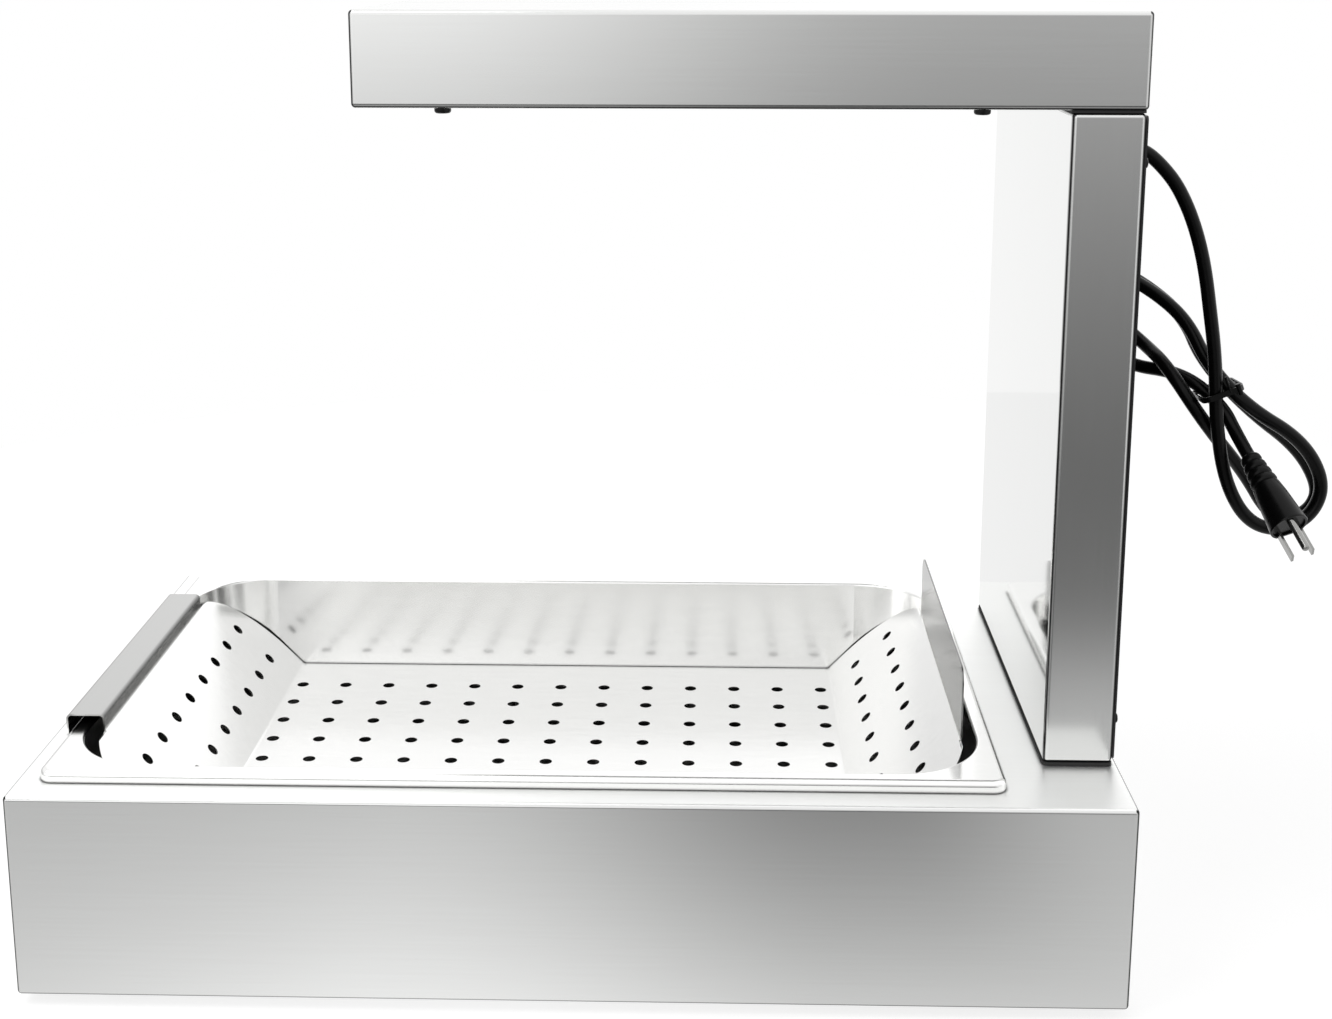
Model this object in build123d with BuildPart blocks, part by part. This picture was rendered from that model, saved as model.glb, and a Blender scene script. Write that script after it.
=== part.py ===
"""Fry warmer: a box base with a drop-in pan and a drain insert, a hollow column and a heater hood."""

import math
import os

from build123d import *

os.makedirs("parts", exist_ok=True)

# Frame: X runs along the base towards the column, Y across it, Z up.
# The origin is on the floor under the middle of the base.

# Sheet of the base, column and hood
sheet = 1.2
bend = 2.5
hole_clearance = 0.2

# Base
side_margin = 18.0
base_height = 119.0
base_flange = 18.0
plate_thickness = 1.0
plate_inset = 6.0
plate_screw_inset = 12.0
plate_screw_pitch_x = 250.0
plate_screw_pitch_y = 150.0
foot_height = 5.0
foot_diameter = 24.0
foot_inset = 44.0
foot_recess_diameter = 12.0
foot_recess_depth = 3.0

# Pan
pan_length = 536.0
pan_width = 332.0
pan_depth = 100.0
pan_margin = 13.0
pan_sheet = 1.0
pan_draft = 4.0
pan_corner = 50.0
pan_floor_radius = 14.0
rim_width = 10.0
rim_height = 7.0
rim_corner = 8.0
rim_edge = 3.5
rim_inner_edge = 2.5
mouth_edge = 2.0
cutout_clearance = 3.0

# Drain insert
insert_sheet = 1.0
insert_bend = 3.0
insert_floor_length = 380.0
insert_width = 302.0
insert_floor_above = 37.0
slope_run = 60.0
slope_rise = 60.0
insert_corner = 48.0
tab_width = 206.0
hook_rise = 9.5
hook_width = 22.5
hook_drop = 9.5
flange_rise = 42.0
flange_corner = 9.0
drain_hole = 8.0
drain_pitch = 30.4
drain_columns = 13
drain_rows = 8
drain_far_edge = 39.5
slope_columns = 2
slope_far_edge = 33.5
slope_holes_up = 39.0

# Column
column_depth = 39.1
column_width = 258.0
column_setback = 3.9
column_gap = 25.0
column_height = 366.0
foot_gasket = 2.0
hood_gasket_thickness = 1.5
wireway_depth = 15.0
wireway_width = 120.0
rear_lip = 14.0
cover_inset = 1.5
cover_screw_inset = 8.0
cover_screw_low = 24.0
cover_screw_high = 27.0
cover_screw_rows = 2
bolt_span_x = 25.0
bolt_span_y = 190.0

# Hood
hood_length = 420.5
hood_width = 261.0
hood_height = 51.5
hood_setback = 3.0
window_left = 37.0
window_length = 314.0
window_width = 211.0
hood_screw_near = 48.0
hood_screw_span = 286.0
hood_screw_inset = 7.0

# Heater
reflector_sheet = 0.8
reflector_overlap = 6.0
reflector_flange = 9.0
reflector_mouth = 232.0
reflector_top = 160.0
reflector_depth = 36.0
reflector_flange_width = 256.0
element_diameter = 8.0
element_spacing = 90.0
element_height = 18.8
element_overhang = 11.0
element_pin_diameter = 3.0
element_pin_length = 4.0
bushing_diameter = 14.0
bushing_flange_diameter = 19.0
bushing_flange = 3.0
bushing_inside = 4.0
bushing_outside = 8.0
guard_wire = 2.5
guard_fit = 0.02
guard_seat = 5.5
guard_end_gap = 3.0
guard_side_gap = 25.0
guard_cross_pitch = 30.0
guard_long_pitch = 35.0
blanket_thickness = 12.5
blanket_margin = 4.0

# Fasteners
m3_diameter = 3.0
m3_head_diameter = 5.6
m3_head_height = 2.1
m3_nut_width = 5.5
m3_nut_height = 2.4
m4_diameter = 4.0
m4_head_diameter = 9.0
m4_head_height = 3.0
m4_nut_width = 7.0
m4_nut_height = 3.2
m4_foot_head_diameter = 8.0
m4_foot_head_height = 2.4
m5_diameter = 5.0
m5_head_diameter = 9.0
m5_head_height = 3.5
m5_nut_width = 8.0
m5_nut_height = 4.0
screw_reach = 6.0
bolt_end = 1.5

# Terminal block
block_depth = 16.0
block_width = 44.0
block_height = 20.0
block_below_gland = 56.0
block_stud_spacing = 36.0
block_stud_length = 20.0
block_ways = 3
block_way_pitch = 10.0
block_row_pitch = 10.0
block_screw_diameter = 4.0
block_screw_hole = 4.4
block_screw_depth = 6.0
block_screw_length = 5.0

# Switch
switch_up = 173.0
switch_bezel_tall = 31.0
switch_bezel_wide = 25.0
switch_bezel_thickness = 2.0
switch_body_tall = 28.2
switch_body_wide = 21.6
switch_body_deep = 24.0
switch_fit = 0.2
rocker_radius = 12.4
rocker_wide = 17.0
rocker_crest = 7.5
rocker_valley = 5.0
rocker_under = 2.5
rocker_fit = 0.3
rocker_tilt = 10.0
rocker_pivot_in = 3.0
rocker_well = 11.0
pivot_diameter = 3.0
pivot_length = 0.8
pivot_fit = 0.05
terminal_wide = 6.3
terminal_thick = 0.8
terminal_long = 8.0
terminal_spacing = 14.0

# Leads inside
lead_diameter = 2.4
lead_stand_off = 5.5
lead_spread = 14.0
lead_rise = 30.0
duct_spread = 20.0
duct_under = 16.0
duct_over = 6.0
hood_turn_in = 6.0
hood_turn_spread = 32.0
pin_run = 9.0
link_out = 7.0
switch_lead_x = (0.0, 6.0)
switch_lead_y = (10.0, -3.0)
switch_lead_drop = 30.0
switch_lead_slack = 40.0
switch_lead_over = 32.0
switch_lead_in = 6.0
switch_lead_run = 18.0
supply_diameter = 7.6
supply_turn_x = 10.0
supply_turn_z = 12.0
arc_share = 0.45

# Cord, gland and plug
cord_diameter = 8.4
gland_below_top = 32.0
gland_thread = 12.0
gland_inside = 8.6
gland_flange_diameter = 20.0
gland_flange = 3.0
gland_outside = 17.2
gland_root = 16.0
gland_nose = 12.0
gland_nut_width = 17.0
gland_nut_height = 5.0
plug_relief_length = 22.0
plug_relief_root = 12.0
plug_relief_tip = 17.2
plug_relief_ribs = 4
plug_rib_gap = 1.6
plug_rib_depth = 1.1
plug_body_length = 31.5
plug_body_root = 16.8
plug_body_waist = 19.4
plug_body_face = 23.5
plug_shoulder = 10.0
plug_flat = 9.0
plug_lip = 1.3
plug_recess = 1.2
plug_turn = 9.0
blade_length = 18.0
blade_width = 6.3
blade_thickness = 1.5
blade_spacing = 12.7
blade_offset = 4.0
earth_diameter = 4.8
earth_length = 21.0
earth_offset = 7.5
tie_along = Vector(0.36, -0.10, -0.93).normalized()
tie_width = 3.5
tie_thickness = 1.0
tie_wide = 24.4
tie_deep = 34.2
tie_corner = 5.0
tie_shift_right = 2.0
tie_shift_back = 1.5
tie_knot_diameter = 3.2
tie_knot_length = 7.0
tie_knot_right = 9.5
tie_spike_diameter = 1.6
tie_spike_length = 10.0
tie_spike_right = 4.0

# Lie of the cord, measured from the gland's tip: X and Z of the lead's corners down to the hank
lead_bends = (
    (6.5, 0.0),
    (12.8, -2.2),
    (20.5, -8.6),
    (29.5, -18.6),
    (36.2, -29.6),
    (42.6, -43.5),
    (48.0, -59.5),
    (52.2, -76.5),
    (56.3, -99.9),
)

# Lie of the hank: its waist, the strand that crosses outside the tie, the lower lobes in front,
# the upper lobes behind the column and the tail to the plug
waist_from_gland = Vector(65.0, 10.0, -151.0)
waist_along = Vector(0.66, -0.30, -0.69).normalized()
waist_side = Vector(0.207, 0.946, -0.251).normalized()
main_from_gland = Vector(62.8, 0.0, -150.0)
main_along = Vector(0.07, 0.0, -1.0).normalized()
cross_from_gland = Vector(46.0, 12.0, -151.0)
cross_along = Vector(0.53, -0.23, -0.80).normalized()
right_out = 7.8
right_backs = (-3.8, 9.8)
lower_along = Vector(0.52, 0.0, -0.854).normalized()
lower_reach = (70.0, 83.5)
lower_shift = (3.5, 10.5)
lower_radius = (26.5, 18.0)
lower_backs = (-10.0, 11.0)
upper_along = Vector(-0.608, 0.608, 0.51).normalized()
upper_back = Vector(1.0, 1.0, 0.0).normalized()
upper_lobes = (
    ((55.0, 26.5, -3.5), (97.5, 7.0, -6.5), (76.0, -10.0, 5.5)),
    ((72.5, 12.5, 26.0), (114.0, -2.0, 4.5), (81.0, -27.5, -1.0)),
)
tail_left = 3.2
tail_back = 8.0
tail_along = Vector(0.71, -0.33, -0.58).normalized()
plug_from_gland = Vector(83.8, -6.0, -188.0)
plug_along = Vector(0.27, -0.75, -0.60).normalized()
trail_step = 2.0

# Levels and places that follow from the sizes above
base_length = pan_margin + pan_length + column_gap + column_depth + column_setback
base_depth = pan_width + 2 * side_margin
shell_bottom = foot_height + plate_thickness
base_top = shell_bottom + base_height
rim_top = base_top + rim_height
pan_x = -base_length / 2 + pan_margin + pan_length / 2
mouth_length = pan_length - 2 * rim_width
mouth_width = pan_width - 2 * rim_width
wall_length = mouth_length + 2 * pan_sheet
wall_width = mouth_width + 2 * pan_sheet
insert_floor = rim_top - pan_depth + insert_floor_above
slope_top = insert_floor + slope_rise
column_bottom = base_top + foot_gasket
column_top = column_bottom + column_height
column_middle = column_bottom + column_height / 2
column_rear = base_length / 2 - column_setback
column_front = column_rear - column_depth
column_x = column_rear - column_depth / 2
cover_outside = column_rear + sheet
switch_height = column_bottom + switch_up
gland_height = column_top - gland_below_top
gland_tip = Vector(cover_outside + gland_outside, 0, gland_height)
waist = gland_tip + waist_from_gland
plug_start = gland_tip + plug_from_gland
block_bottom = gland_height - block_below_gland
hood_bottom = column_top + hood_gasket_thickness
hood_right = base_length / 2 - hood_setback
hood_left = hood_right - hood_length
hood_x = hood_right - hood_length / 2
window_x = hood_left + window_left + window_length / 2
flange_top = hood_bottom + sheet
reflector_inside = window_length + 2 * reflector_overlap
reflector_right = window_x + reflector_inside / 2
reflector_left = window_x - reflector_inside / 2
element_z = flange_top + element_height
guard_cross_length = window_width + 2 * guard_seat
guard_cross_count = 1 + int((window_length - 2 * guard_end_gap - guard_wire) // guard_cross_pitch)
guard_long_length = window_length - 2 * guard_end_gap
guard_long_count = 1 + int((window_width - 2 * guard_side_gap) // guard_long_pitch)
column_bolts_at = [(x * bolt_span_x / 2, y * bolt_span_y / 2) for x in (-1, 1) for y in (-1, 1)]
hood_screws_at = [
    (hood_left + hood_screw_near + x, y * (hood_width / 2 - hood_screw_inset))
    for x in (0, hood_screw_span)
    for y in (-1, 1)
]
cover_screw_pitch = (column_height - cover_screw_low - cover_screw_high) / (cover_screw_rows - 1)
cover_screws_at = [
    (y * (column_width / 2 - cover_screw_inset), column_bottom + cover_screw_low + row * cover_screw_pitch)
    for y in (-1, 1)
    for row in range(cover_screw_rows)
]


def save(part, label):
    part.label = label
    export_step(part, f"parts/{label}.step")


def folded_box(length, width, height, centre):
    """Closed box of the body's sheet with every edge bent"""
    with BuildPart() as hollow:
        with Locations(centre):
            Box(length - 2 * sheet, width - 2 * sheet, height - 2 * sheet)
        fillet(hollow.edges(), bend - sheet)
    with BuildPart() as box:
        with Locations(centre):
            Box(length, width, height)
        fillet(box.edges(), bend)
        add(hollow.part, mode=Mode.SUBTRACT)
    return box.part


def hex_nuts(places, width, height, bore, seat):
    """Hexagon nuts standing on the plane seat, one at each place"""
    with BuildPart() as nuts:
        with BuildSketch(seat):
            with Locations(places):
                RegularPolygon(width / 2, 6, major_radius=False)
                Circle(bore / 2 + hole_clearance / 2, mode=Mode.SUBTRACT)
        extrude(amount=height)
    return nuts.part


def screws(places, head_diameter, head_height, diameter, length, seat):
    """Screws whose heads stand on the plane seat and whose shanks go the other way"""
    with BuildPart() as group:
        with BuildSketch(seat):
            with Locations(places):
                Circle(head_diameter / 2)
        extrude(amount=head_height)
        fillet(group.faces().group_by(Axis(seat.origin, seat.z_dir))[-1].edges(), head_height / 2)
        with BuildSketch(seat):
            with Locations(places):
                Circle(diameter / 2)
        extrude(amount=-length)
    return group.part


def tube(points, diameter):
    """Round tube along straight runs joined by arcs, and the radii of those arcs"""
    route = [Vector(point) for point in points]
    radii = []
    for before, corner, after in zip(route, route[1:], route[2:]):
        run_in = corner - before
        run_out = after - corner
        half_turn = math.radians(run_in.get_angle(run_out)) / 2
        radii.append(arc_share * min(run_in.length, run_out.length) / math.tan(half_turn))
    with BuildPart() as wire:
        with BuildLine() as path:
            FilletPolyline(*route, radius=radii)
        with BuildSketch(Plane(route[0], z_dir=route[1] - route[0])):
            Circle(diameter / 2)
        sweep(path=path.line)
    return wire.part, radii


# Base
with BuildPart() as base_shell:
    add(folded_box(base_length, base_depth, base_height, (0, 0, shell_bottom + base_height / 2)))
    with BuildSketch(Plane.XY.offset(shell_bottom)):
        Rectangle(base_length - 2 * base_flange, base_depth - 2 * base_flange)
    extrude(amount=sheet, mode=Mode.SUBTRACT)
    with BuildSketch(Plane.XY.offset(base_top)):
        with Locations((pan_x, 0)):
            RectangleRounded(
                wall_length + 2 * cutout_clearance,
                wall_width + 2 * cutout_clearance,
                pan_corner + pan_sheet + cutout_clearance,
            )
        with Locations((column_x, 0)):
            with Locations(column_bolts_at):
                Circle(m5_diameter / 2 + hole_clearance)
    extrude(amount=-sheet, mode=Mode.SUBTRACT)
    with BuildSketch(Plane.XY.offset(shell_bottom)):
        with GridLocations(plate_screw_pitch_x, base_depth - 2 * plate_screw_inset, 3, 2):
            Circle(m3_diameter / 2 + hole_clearance / 2)
        with GridLocations(base_length - 2 * plate_screw_inset, plate_screw_pitch_y, 2, 2):
            Circle(m3_diameter / 2 + hole_clearance / 2)
    extrude(amount=sheet, mode=Mode.SUBTRACT)
save(base_shell.part, "base_shell")

foot_pitch_x = base_length - 2 * foot_inset
foot_pitch_y = base_depth - 2 * foot_inset
with BuildPart() as base_bottom_plate:
    with BuildSketch(Plane.XY.offset(foot_height)):
        RectangleRounded(base_length - 2 * plate_inset, base_depth - 2 * plate_inset, bend)
        with GridLocations(plate_screw_pitch_x, base_depth - 2 * plate_screw_inset, 3, 2):
            Circle(m3_diameter / 2 + hole_clearance, mode=Mode.SUBTRACT)
        with GridLocations(base_length - 2 * plate_screw_inset, plate_screw_pitch_y, 2, 2):
            Circle(m3_diameter / 2 + hole_clearance, mode=Mode.SUBTRACT)
        with GridLocations(foot_pitch_x, foot_pitch_y, 2, 2):
            Circle(m4_diameter / 2 + hole_clearance, mode=Mode.SUBTRACT)
    extrude(amount=plate_thickness)
save(base_bottom_plate.part, "base_bottom_plate")

plate_screw_x = base_length / 2 - plate_screw_inset
plate_screw_y = base_depth / 2 - plate_screw_inset
plate_screws_at = [(x * plate_screw_pitch_x, y * plate_screw_y) for x in (-1, 0, 1) for y in (-1, 1)]
plate_screws_at += [(x * plate_screw_x, y * plate_screw_pitch_y / 2) for x in (-1, 1) for y in (-1, 1)]
below_plate = Plane(origin=(0, 0, foot_height), x_dir=(1, 0, 0), z_dir=(0, 0, -1))
bottom_plate_screws = screws(
    plate_screws_at, m3_head_diameter, m3_head_height, m3_diameter, screw_reach, below_plate
)
save(bottom_plate_screws, "bottom_plate_screws")

with BuildPart() as rubber_feet:
    with BuildSketch():
        with GridLocations(foot_pitch_x, foot_pitch_y, 2, 2):
            Circle(foot_diameter / 2)
            Circle(m4_diameter / 2 + hole_clearance, mode=Mode.SUBTRACT)
    extrude(amount=foot_height)
    with BuildSketch():
        with GridLocations(foot_pitch_x, foot_pitch_y, 2, 2):
            Circle(foot_recess_diameter / 2)
    extrude(amount=foot_recess_depth, mode=Mode.SUBTRACT)
save(rubber_feet.part, "rubber_feet")

feet_at = [(x * foot_pitch_x / 2, y * foot_pitch_y / 2) for x in (-1, 1) for y in (-1, 1)]
foot_screws = screws(
    feet_at,
    m4_foot_head_diameter,
    m4_foot_head_height,
    m4_diameter,
    foot_height - foot_recess_depth + plate_thickness + m4_nut_height + bolt_end,
    Plane(origin=(0, 0, foot_recess_depth), x_dir=(1, 0, 0), z_dir=(0, 0, -1)),
)
save(foot_screws, "foot_screws")
foot_nuts = hex_nuts(feet_at, m4_nut_width, m4_nut_height, m4_diameter, Plane.XY.offset(shell_bottom))
save(foot_nuts, "foot_nuts")

# Pan
with BuildPart() as pan_inside:
    with BuildSketch(Plane.XY.offset(rim_top)):
        with Locations((pan_x, 0)):
            RectangleRounded(mouth_length, mouth_width, pan_corner)
    extrude(amount=-(pan_depth - pan_sheet), taper=pan_draft)
    fillet(pan_inside.edges().group_by(Axis.Z)[0], pan_floor_radius)

with BuildPart() as rim_hollow:
    with BuildSketch(Plane.XY.offset(base_top)):
        with Locations((pan_x, 0)):
            RectangleRounded(pan_length - 2 * pan_sheet, pan_width - 2 * pan_sheet, rim_corner - pan_sheet)
    extrude(amount=rim_height - pan_sheet)
    fillet(rim_hollow.edges().group_by(Axis.Z)[-1], rim_inner_edge)
    with BuildSketch(Plane.XY.offset(base_top)):
        with Locations((pan_x, 0)):
            RectangleRounded(wall_length, wall_width, pan_corner + pan_sheet)
    extrude(amount=rim_height, mode=Mode.SUBTRACT)

with BuildPart() as steam_pan:
    with BuildSketch(Plane.XY.offset(rim_top)):
        with Locations((pan_x, 0)):
            RectangleRounded(wall_length, wall_width, pan_corner + pan_sheet)
    extrude(amount=-pan_depth, taper=pan_draft)
    fillet(steam_pan.edges().group_by(Axis.Z)[0], pan_floor_radius + pan_sheet)
    with BuildSketch(Plane.XY.offset(base_top)):
        with Locations((pan_x, 0)):
            RectangleRounded(pan_length, pan_width, rim_corner)
    extrude(amount=rim_height)
    fillet(steam_pan.edges().group_by(Axis.Z)[-1], rim_edge)
    add(rim_hollow.part, mode=Mode.SUBTRACT)
    add(pan_inside.part, mode=Mode.SUBTRACT)
    fillet(steam_pan.faces().sort_by(Axis.Z)[-1].inner_wires()[0].edges(), mouth_edge)
save(steam_pan.part, "steam_pan")

# Drain insert
floor_end = insert_floor_length / 2
slope_end = floor_end + slope_run
hook_top = slope_top + hook_rise
row_span = (drain_rows - 1) * drain_pitch
with BuildPart() as drain_insert:
    with BuildSketch(Plane.XZ):
        with BuildLine():
            FilletPolyline(
                (pan_x - slope_end - hook_width, hook_top - hook_drop),
                (pan_x - slope_end - hook_width, hook_top),
                (pan_x - slope_end, hook_top),
                (pan_x - slope_end, slope_top),
                (pan_x - floor_end, insert_floor),
                (pan_x + floor_end, insert_floor),
                (pan_x + slope_end, slope_top),
                (pan_x + slope_end, slope_top + flange_rise),
                radius=insert_bend,
            )
            offset(amount=insert_sheet, side=Side.RIGHT)
        make_face()
    extrude(amount=insert_width / 2, both=True)
    with BuildSketch(Plane.XY.offset(insert_floor - insert_bend)):
        with Locations((pan_x, 0)):
            RectangleRounded(2 * slope_end + 2 * insert_sheet, insert_width, insert_corner)
            Rectangle(2 * slope_end + 4 * hook_width, tab_width)
    extrude(amount=slope_rise + flange_rise + 2 * insert_bend, mode=Mode.INTERSECT)
    with BuildSketch(Plane.XY.offset(slope_top - insert_sheet)):
        with Locations((pan_x, 0)):
            Rectangle(2 * slope_end + 4 * hook_width, insert_width)
            Rectangle(2 * slope_end + 4 * hook_width, tab_width, mode=Mode.SUBTRACT)
    extrude(amount=flange_rise + 2 * insert_bend, mode=Mode.SUBTRACT)
    fillet(drain_insert.edges().filter_by(Axis.X).group_by(Axis.Z)[-1], flange_corner)
    with BuildSketch(Plane.XY.offset(insert_floor)):
        with Locations((pan_x, insert_width / 2 - drain_far_edge - row_span / 2)):
            with GridLocations(drain_pitch, drain_pitch, drain_columns, drain_rows):
                Circle(drain_hole / 2)
    extrude(amount=2 * insert_sheet, both=True, mode=Mode.SUBTRACT)
    for side in (-1, 1):
        slope_angle = math.atan2(slope_rise, slope_run)
        slope_plane = Plane(
            origin=(pan_x + side * floor_end, 0, insert_floor),
            x_dir=(0, -side, 0),
            z_dir=(-side * math.sin(slope_angle), 0, math.cos(slope_angle)),
        )
        with BuildSketch(slope_plane):
            with Locations((-side * (insert_width / 2 - slope_far_edge - row_span / 2), slope_holes_up)):
                with GridLocations(drain_pitch, drain_pitch, drain_rows, slope_columns):
                    Circle(drain_hole / 2)
        extrude(amount=2 * insert_sheet, both=True, mode=Mode.SUBTRACT)
save(drain_insert.part, "drain_insert")

# Column
with BuildPart() as column_gasket:
    with BuildSketch(Plane.XY.offset(base_top)):
        with Locations((column_x, 0)):
            RectangleRounded(column_depth, column_width, bend)
            with Locations(column_bolts_at):
                Circle(m5_diameter / 2 + hole_clearance, mode=Mode.SUBTRACT)
    extrude(amount=foot_gasket)
save(column_gasket.part, "column_gasket")

with BuildPart() as hood_gasket:
    with BuildSketch(Plane.XY.offset(column_top)):
        with Locations((column_x, 0)):
            RectangleRounded(column_depth, column_width, bend)
            Rectangle(wireway_depth, wireway_width, mode=Mode.SUBTRACT)
            with Locations(column_bolts_at):
                Circle(m5_diameter / 2 + hole_clearance, mode=Mode.SUBTRACT)
    extrude(amount=hood_gasket_thickness)
save(hood_gasket.part, "hood_gasket")

with BuildPart() as column_shell:
    add(folded_box(column_depth, column_width, column_height, (column_x, 0, column_middle)))
    with BuildSketch(Plane.XY.offset(column_bottom)):
        with Locations((column_x, 0)):
            with Locations(column_bolts_at):
                Circle(m5_diameter / 2 + hole_clearance)
    extrude(amount=sheet, mode=Mode.SUBTRACT)
    with BuildSketch(Plane.XY.offset(column_top)):
        with Locations((column_x, 0)):
            Rectangle(wireway_depth, wireway_width)
            with Locations(column_bolts_at):
                Circle(m5_diameter / 2 + hole_clearance)
    extrude(amount=-sheet, mode=Mode.SUBTRACT)
    with BuildSketch(Plane.YZ.offset(column_rear)):
        with Locations((0, column_middle)):
            Rectangle(column_width - 2 * rear_lip, column_height - 2 * rear_lip)
        with Locations(cover_screws_at):
            Circle(m3_diameter / 2 + hole_clearance / 2)
    extrude(amount=-sheet, mode=Mode.SUBTRACT)
    with BuildSketch(Plane.XZ.offset(-column_width / 2)):
        with Locations((column_x, switch_height)):
            Rectangle(switch_body_wide + 2 * switch_fit, switch_body_tall + 2 * switch_fit)
    extrude(amount=sheet, mode=Mode.SUBTRACT)
save(column_shell.part, "column_shell")

below_base_top = Plane(origin=(column_x, 0, base_top - sheet), x_dir=(1, 0, 0), z_dir=(0, 0, -1))
column_bolts = screws(
    column_bolts_at,
    m5_head_diameter,
    m5_head_height,
    m5_diameter,
    sheet + foot_gasket + sheet + m5_nut_height + bolt_end,
    below_base_top,
)
save(column_bolts, "column_bolts")
column_nuts = hex_nuts(
    column_bolts_at, m5_nut_width, m5_nut_height, m5_diameter, Plane((column_x, 0, column_bottom + sheet))
)
save(column_nuts, "column_nuts")

with BuildPart() as column_rear_cover:
    with BuildSketch(Plane.YZ.offset(column_rear)):
        with Locations((0, column_middle)):
            RectangleRounded(column_width - 2 * cover_inset, column_height - 2 * cover_inset, bend)
        with Locations(cover_screws_at):
            Circle(m3_diameter / 2 + hole_clearance, mode=Mode.SUBTRACT)
        with Locations((0, gland_height)):
            Circle(gland_thread / 2 + hole_clearance, mode=Mode.SUBTRACT)
    extrude(amount=sheet)
save(column_rear_cover.part, "column_rear_cover")

rear_cover_screws = screws(
    cover_screws_at,
    m3_head_diameter,
    m3_head_height,
    m3_diameter,
    screw_reach,
    Plane.YZ.offset(cover_outside),
)
save(rear_cover_screws, "rear_cover_screws")

# Hood
with BuildPart() as hood_shell:
    add(folded_box(hood_length, hood_width, hood_height, (hood_x, 0, hood_bottom + hood_height / 2)))
    with BuildSketch(Plane.XY.offset(hood_bottom)):
        with Locations((window_x, 0)):
            Rectangle(window_length, window_width)
        with Locations((column_x, 0)):
            Rectangle(wireway_depth, wireway_width)
            with Locations(column_bolts_at):
                Circle(m5_diameter / 2 + hole_clearance)
        with Locations(hood_screws_at):
            Circle(m4_diameter / 2 + hole_clearance)
    extrude(amount=sheet, mode=Mode.SUBTRACT)
save(hood_shell.part, "hood_shell")

below_column_top = Plane(origin=(column_x, 0, column_top - sheet), x_dir=(1, 0, 0), z_dir=(0, 0, -1))
hood_bolts = screws(
    column_bolts_at,
    m5_head_diameter,
    m5_head_height,
    m5_diameter,
    sheet + hood_gasket_thickness + sheet + m5_nut_height + bolt_end,
    below_column_top,
)
save(hood_bolts, "hood_bolts")
hood_bolt_nuts = hex_nuts(
    column_bolts_at, m5_nut_width, m5_nut_height, m5_diameter, Plane((column_x, 0, flange_top))
)
save(hood_bolt_nuts, "hood_bolt_nuts")

below_hood = Plane(origin=(0, 0, hood_bottom), x_dir=(1, 0, 0), z_dir=(0, 0, -1))
hood_screws = screws(
    hood_screws_at,
    m4_head_diameter,
    m4_head_height,
    m4_diameter,
    sheet + reflector_sheet + m4_nut_height + bolt_end,
    below_hood,
)
save(hood_screws, "hood_screws")
hood_screw_nuts = hex_nuts(
    hood_screws_at, m4_nut_width, m4_nut_height, m4_diameter, Plane.XY.offset(flange_top + reflector_sheet)
)
save(hood_screw_nuts, "hood_screw_nuts")

# Heater
elements_at = [(y, element_z) for y in (-element_spacing / 2, element_spacing / 2)]
slant = math.atan2(reflector_depth, (reflector_mouth - reflector_top) / 2)
skin = reflector_sheet / math.sin(slant)
with BuildPart() as reflector:
    with BuildSketch(Plane.XY.offset(flange_top)):
        with Locations((window_x, 0)):
            Rectangle(reflector_inside + 2 * reflector_flange, reflector_flange_width)
    extrude(amount=reflector_sheet)
    with BuildSketch(Plane.YZ.offset(reflector_left - reflector_sheet)):
        with BuildLine():
            Polyline(
                (-reflector_mouth / 2 - skin, flange_top),
                (-reflector_top / 2 - skin / 2, flange_top + reflector_depth),
                (reflector_top / 2 + skin / 2, flange_top + reflector_depth),
                (reflector_mouth / 2 + skin, flange_top),
                close=True,
            )
        make_face()
    extrude(amount=reflector_inside + 2 * reflector_sheet)
    with BuildSketch(Plane.YZ.offset(reflector_left)):
        with BuildLine():
            Polyline(
                (-reflector_mouth / 2, flange_top),
                (-reflector_top / 2, flange_top + reflector_depth - reflector_sheet),
                (reflector_top / 2, flange_top + reflector_depth - reflector_sheet),
                (reflector_mouth / 2, flange_top),
                close=True,
            )
        make_face()
    extrude(amount=reflector_inside, mode=Mode.SUBTRACT)
    with BuildSketch(Plane.YZ.offset(reflector_left - reflector_sheet)):
        with Locations(elements_at):
            Circle(bushing_diameter / 2 + hole_clearance / 2)
    extrude(amount=reflector_inside + 2 * reflector_sheet, mode=Mode.SUBTRACT)
    with BuildSketch(Plane.XY.offset(flange_top)):
        with Locations(hood_screws_at):
            Circle(m4_diameter / 2 + hole_clearance)
    extrude(amount=reflector_sheet, mode=Mode.SUBTRACT)
save(reflector.part, "reflector")

with BuildPart() as insulation_blanket:
    with BuildSketch(Plane.XY.offset(flange_top + reflector_depth)):
        with Locations((window_x, 0)):
            Rectangle(reflector_inside - 2 * blanket_margin, reflector_top - 2 * blanket_margin)
    extrude(amount=blanket_thickness)
save(insulation_blanket.part, "insulation_blanket")

element_length = reflector_inside + 2 * reflector_sheet + 2 * element_overhang
with BuildPart() as heating_elements:
    with BuildSketch(Plane.YZ.offset(window_x)):
        with Locations(elements_at):
            Circle(element_diameter / 2)
    extrude(amount=element_length / 2, both=True)
    with BuildSketch(Plane.YZ.offset(window_x)):
        with Locations(elements_at):
            Circle(element_pin_diameter / 2)
    extrude(amount=element_length / 2 + element_pin_length, both=True)
save(heating_elements.part, "heating_elements")

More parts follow.
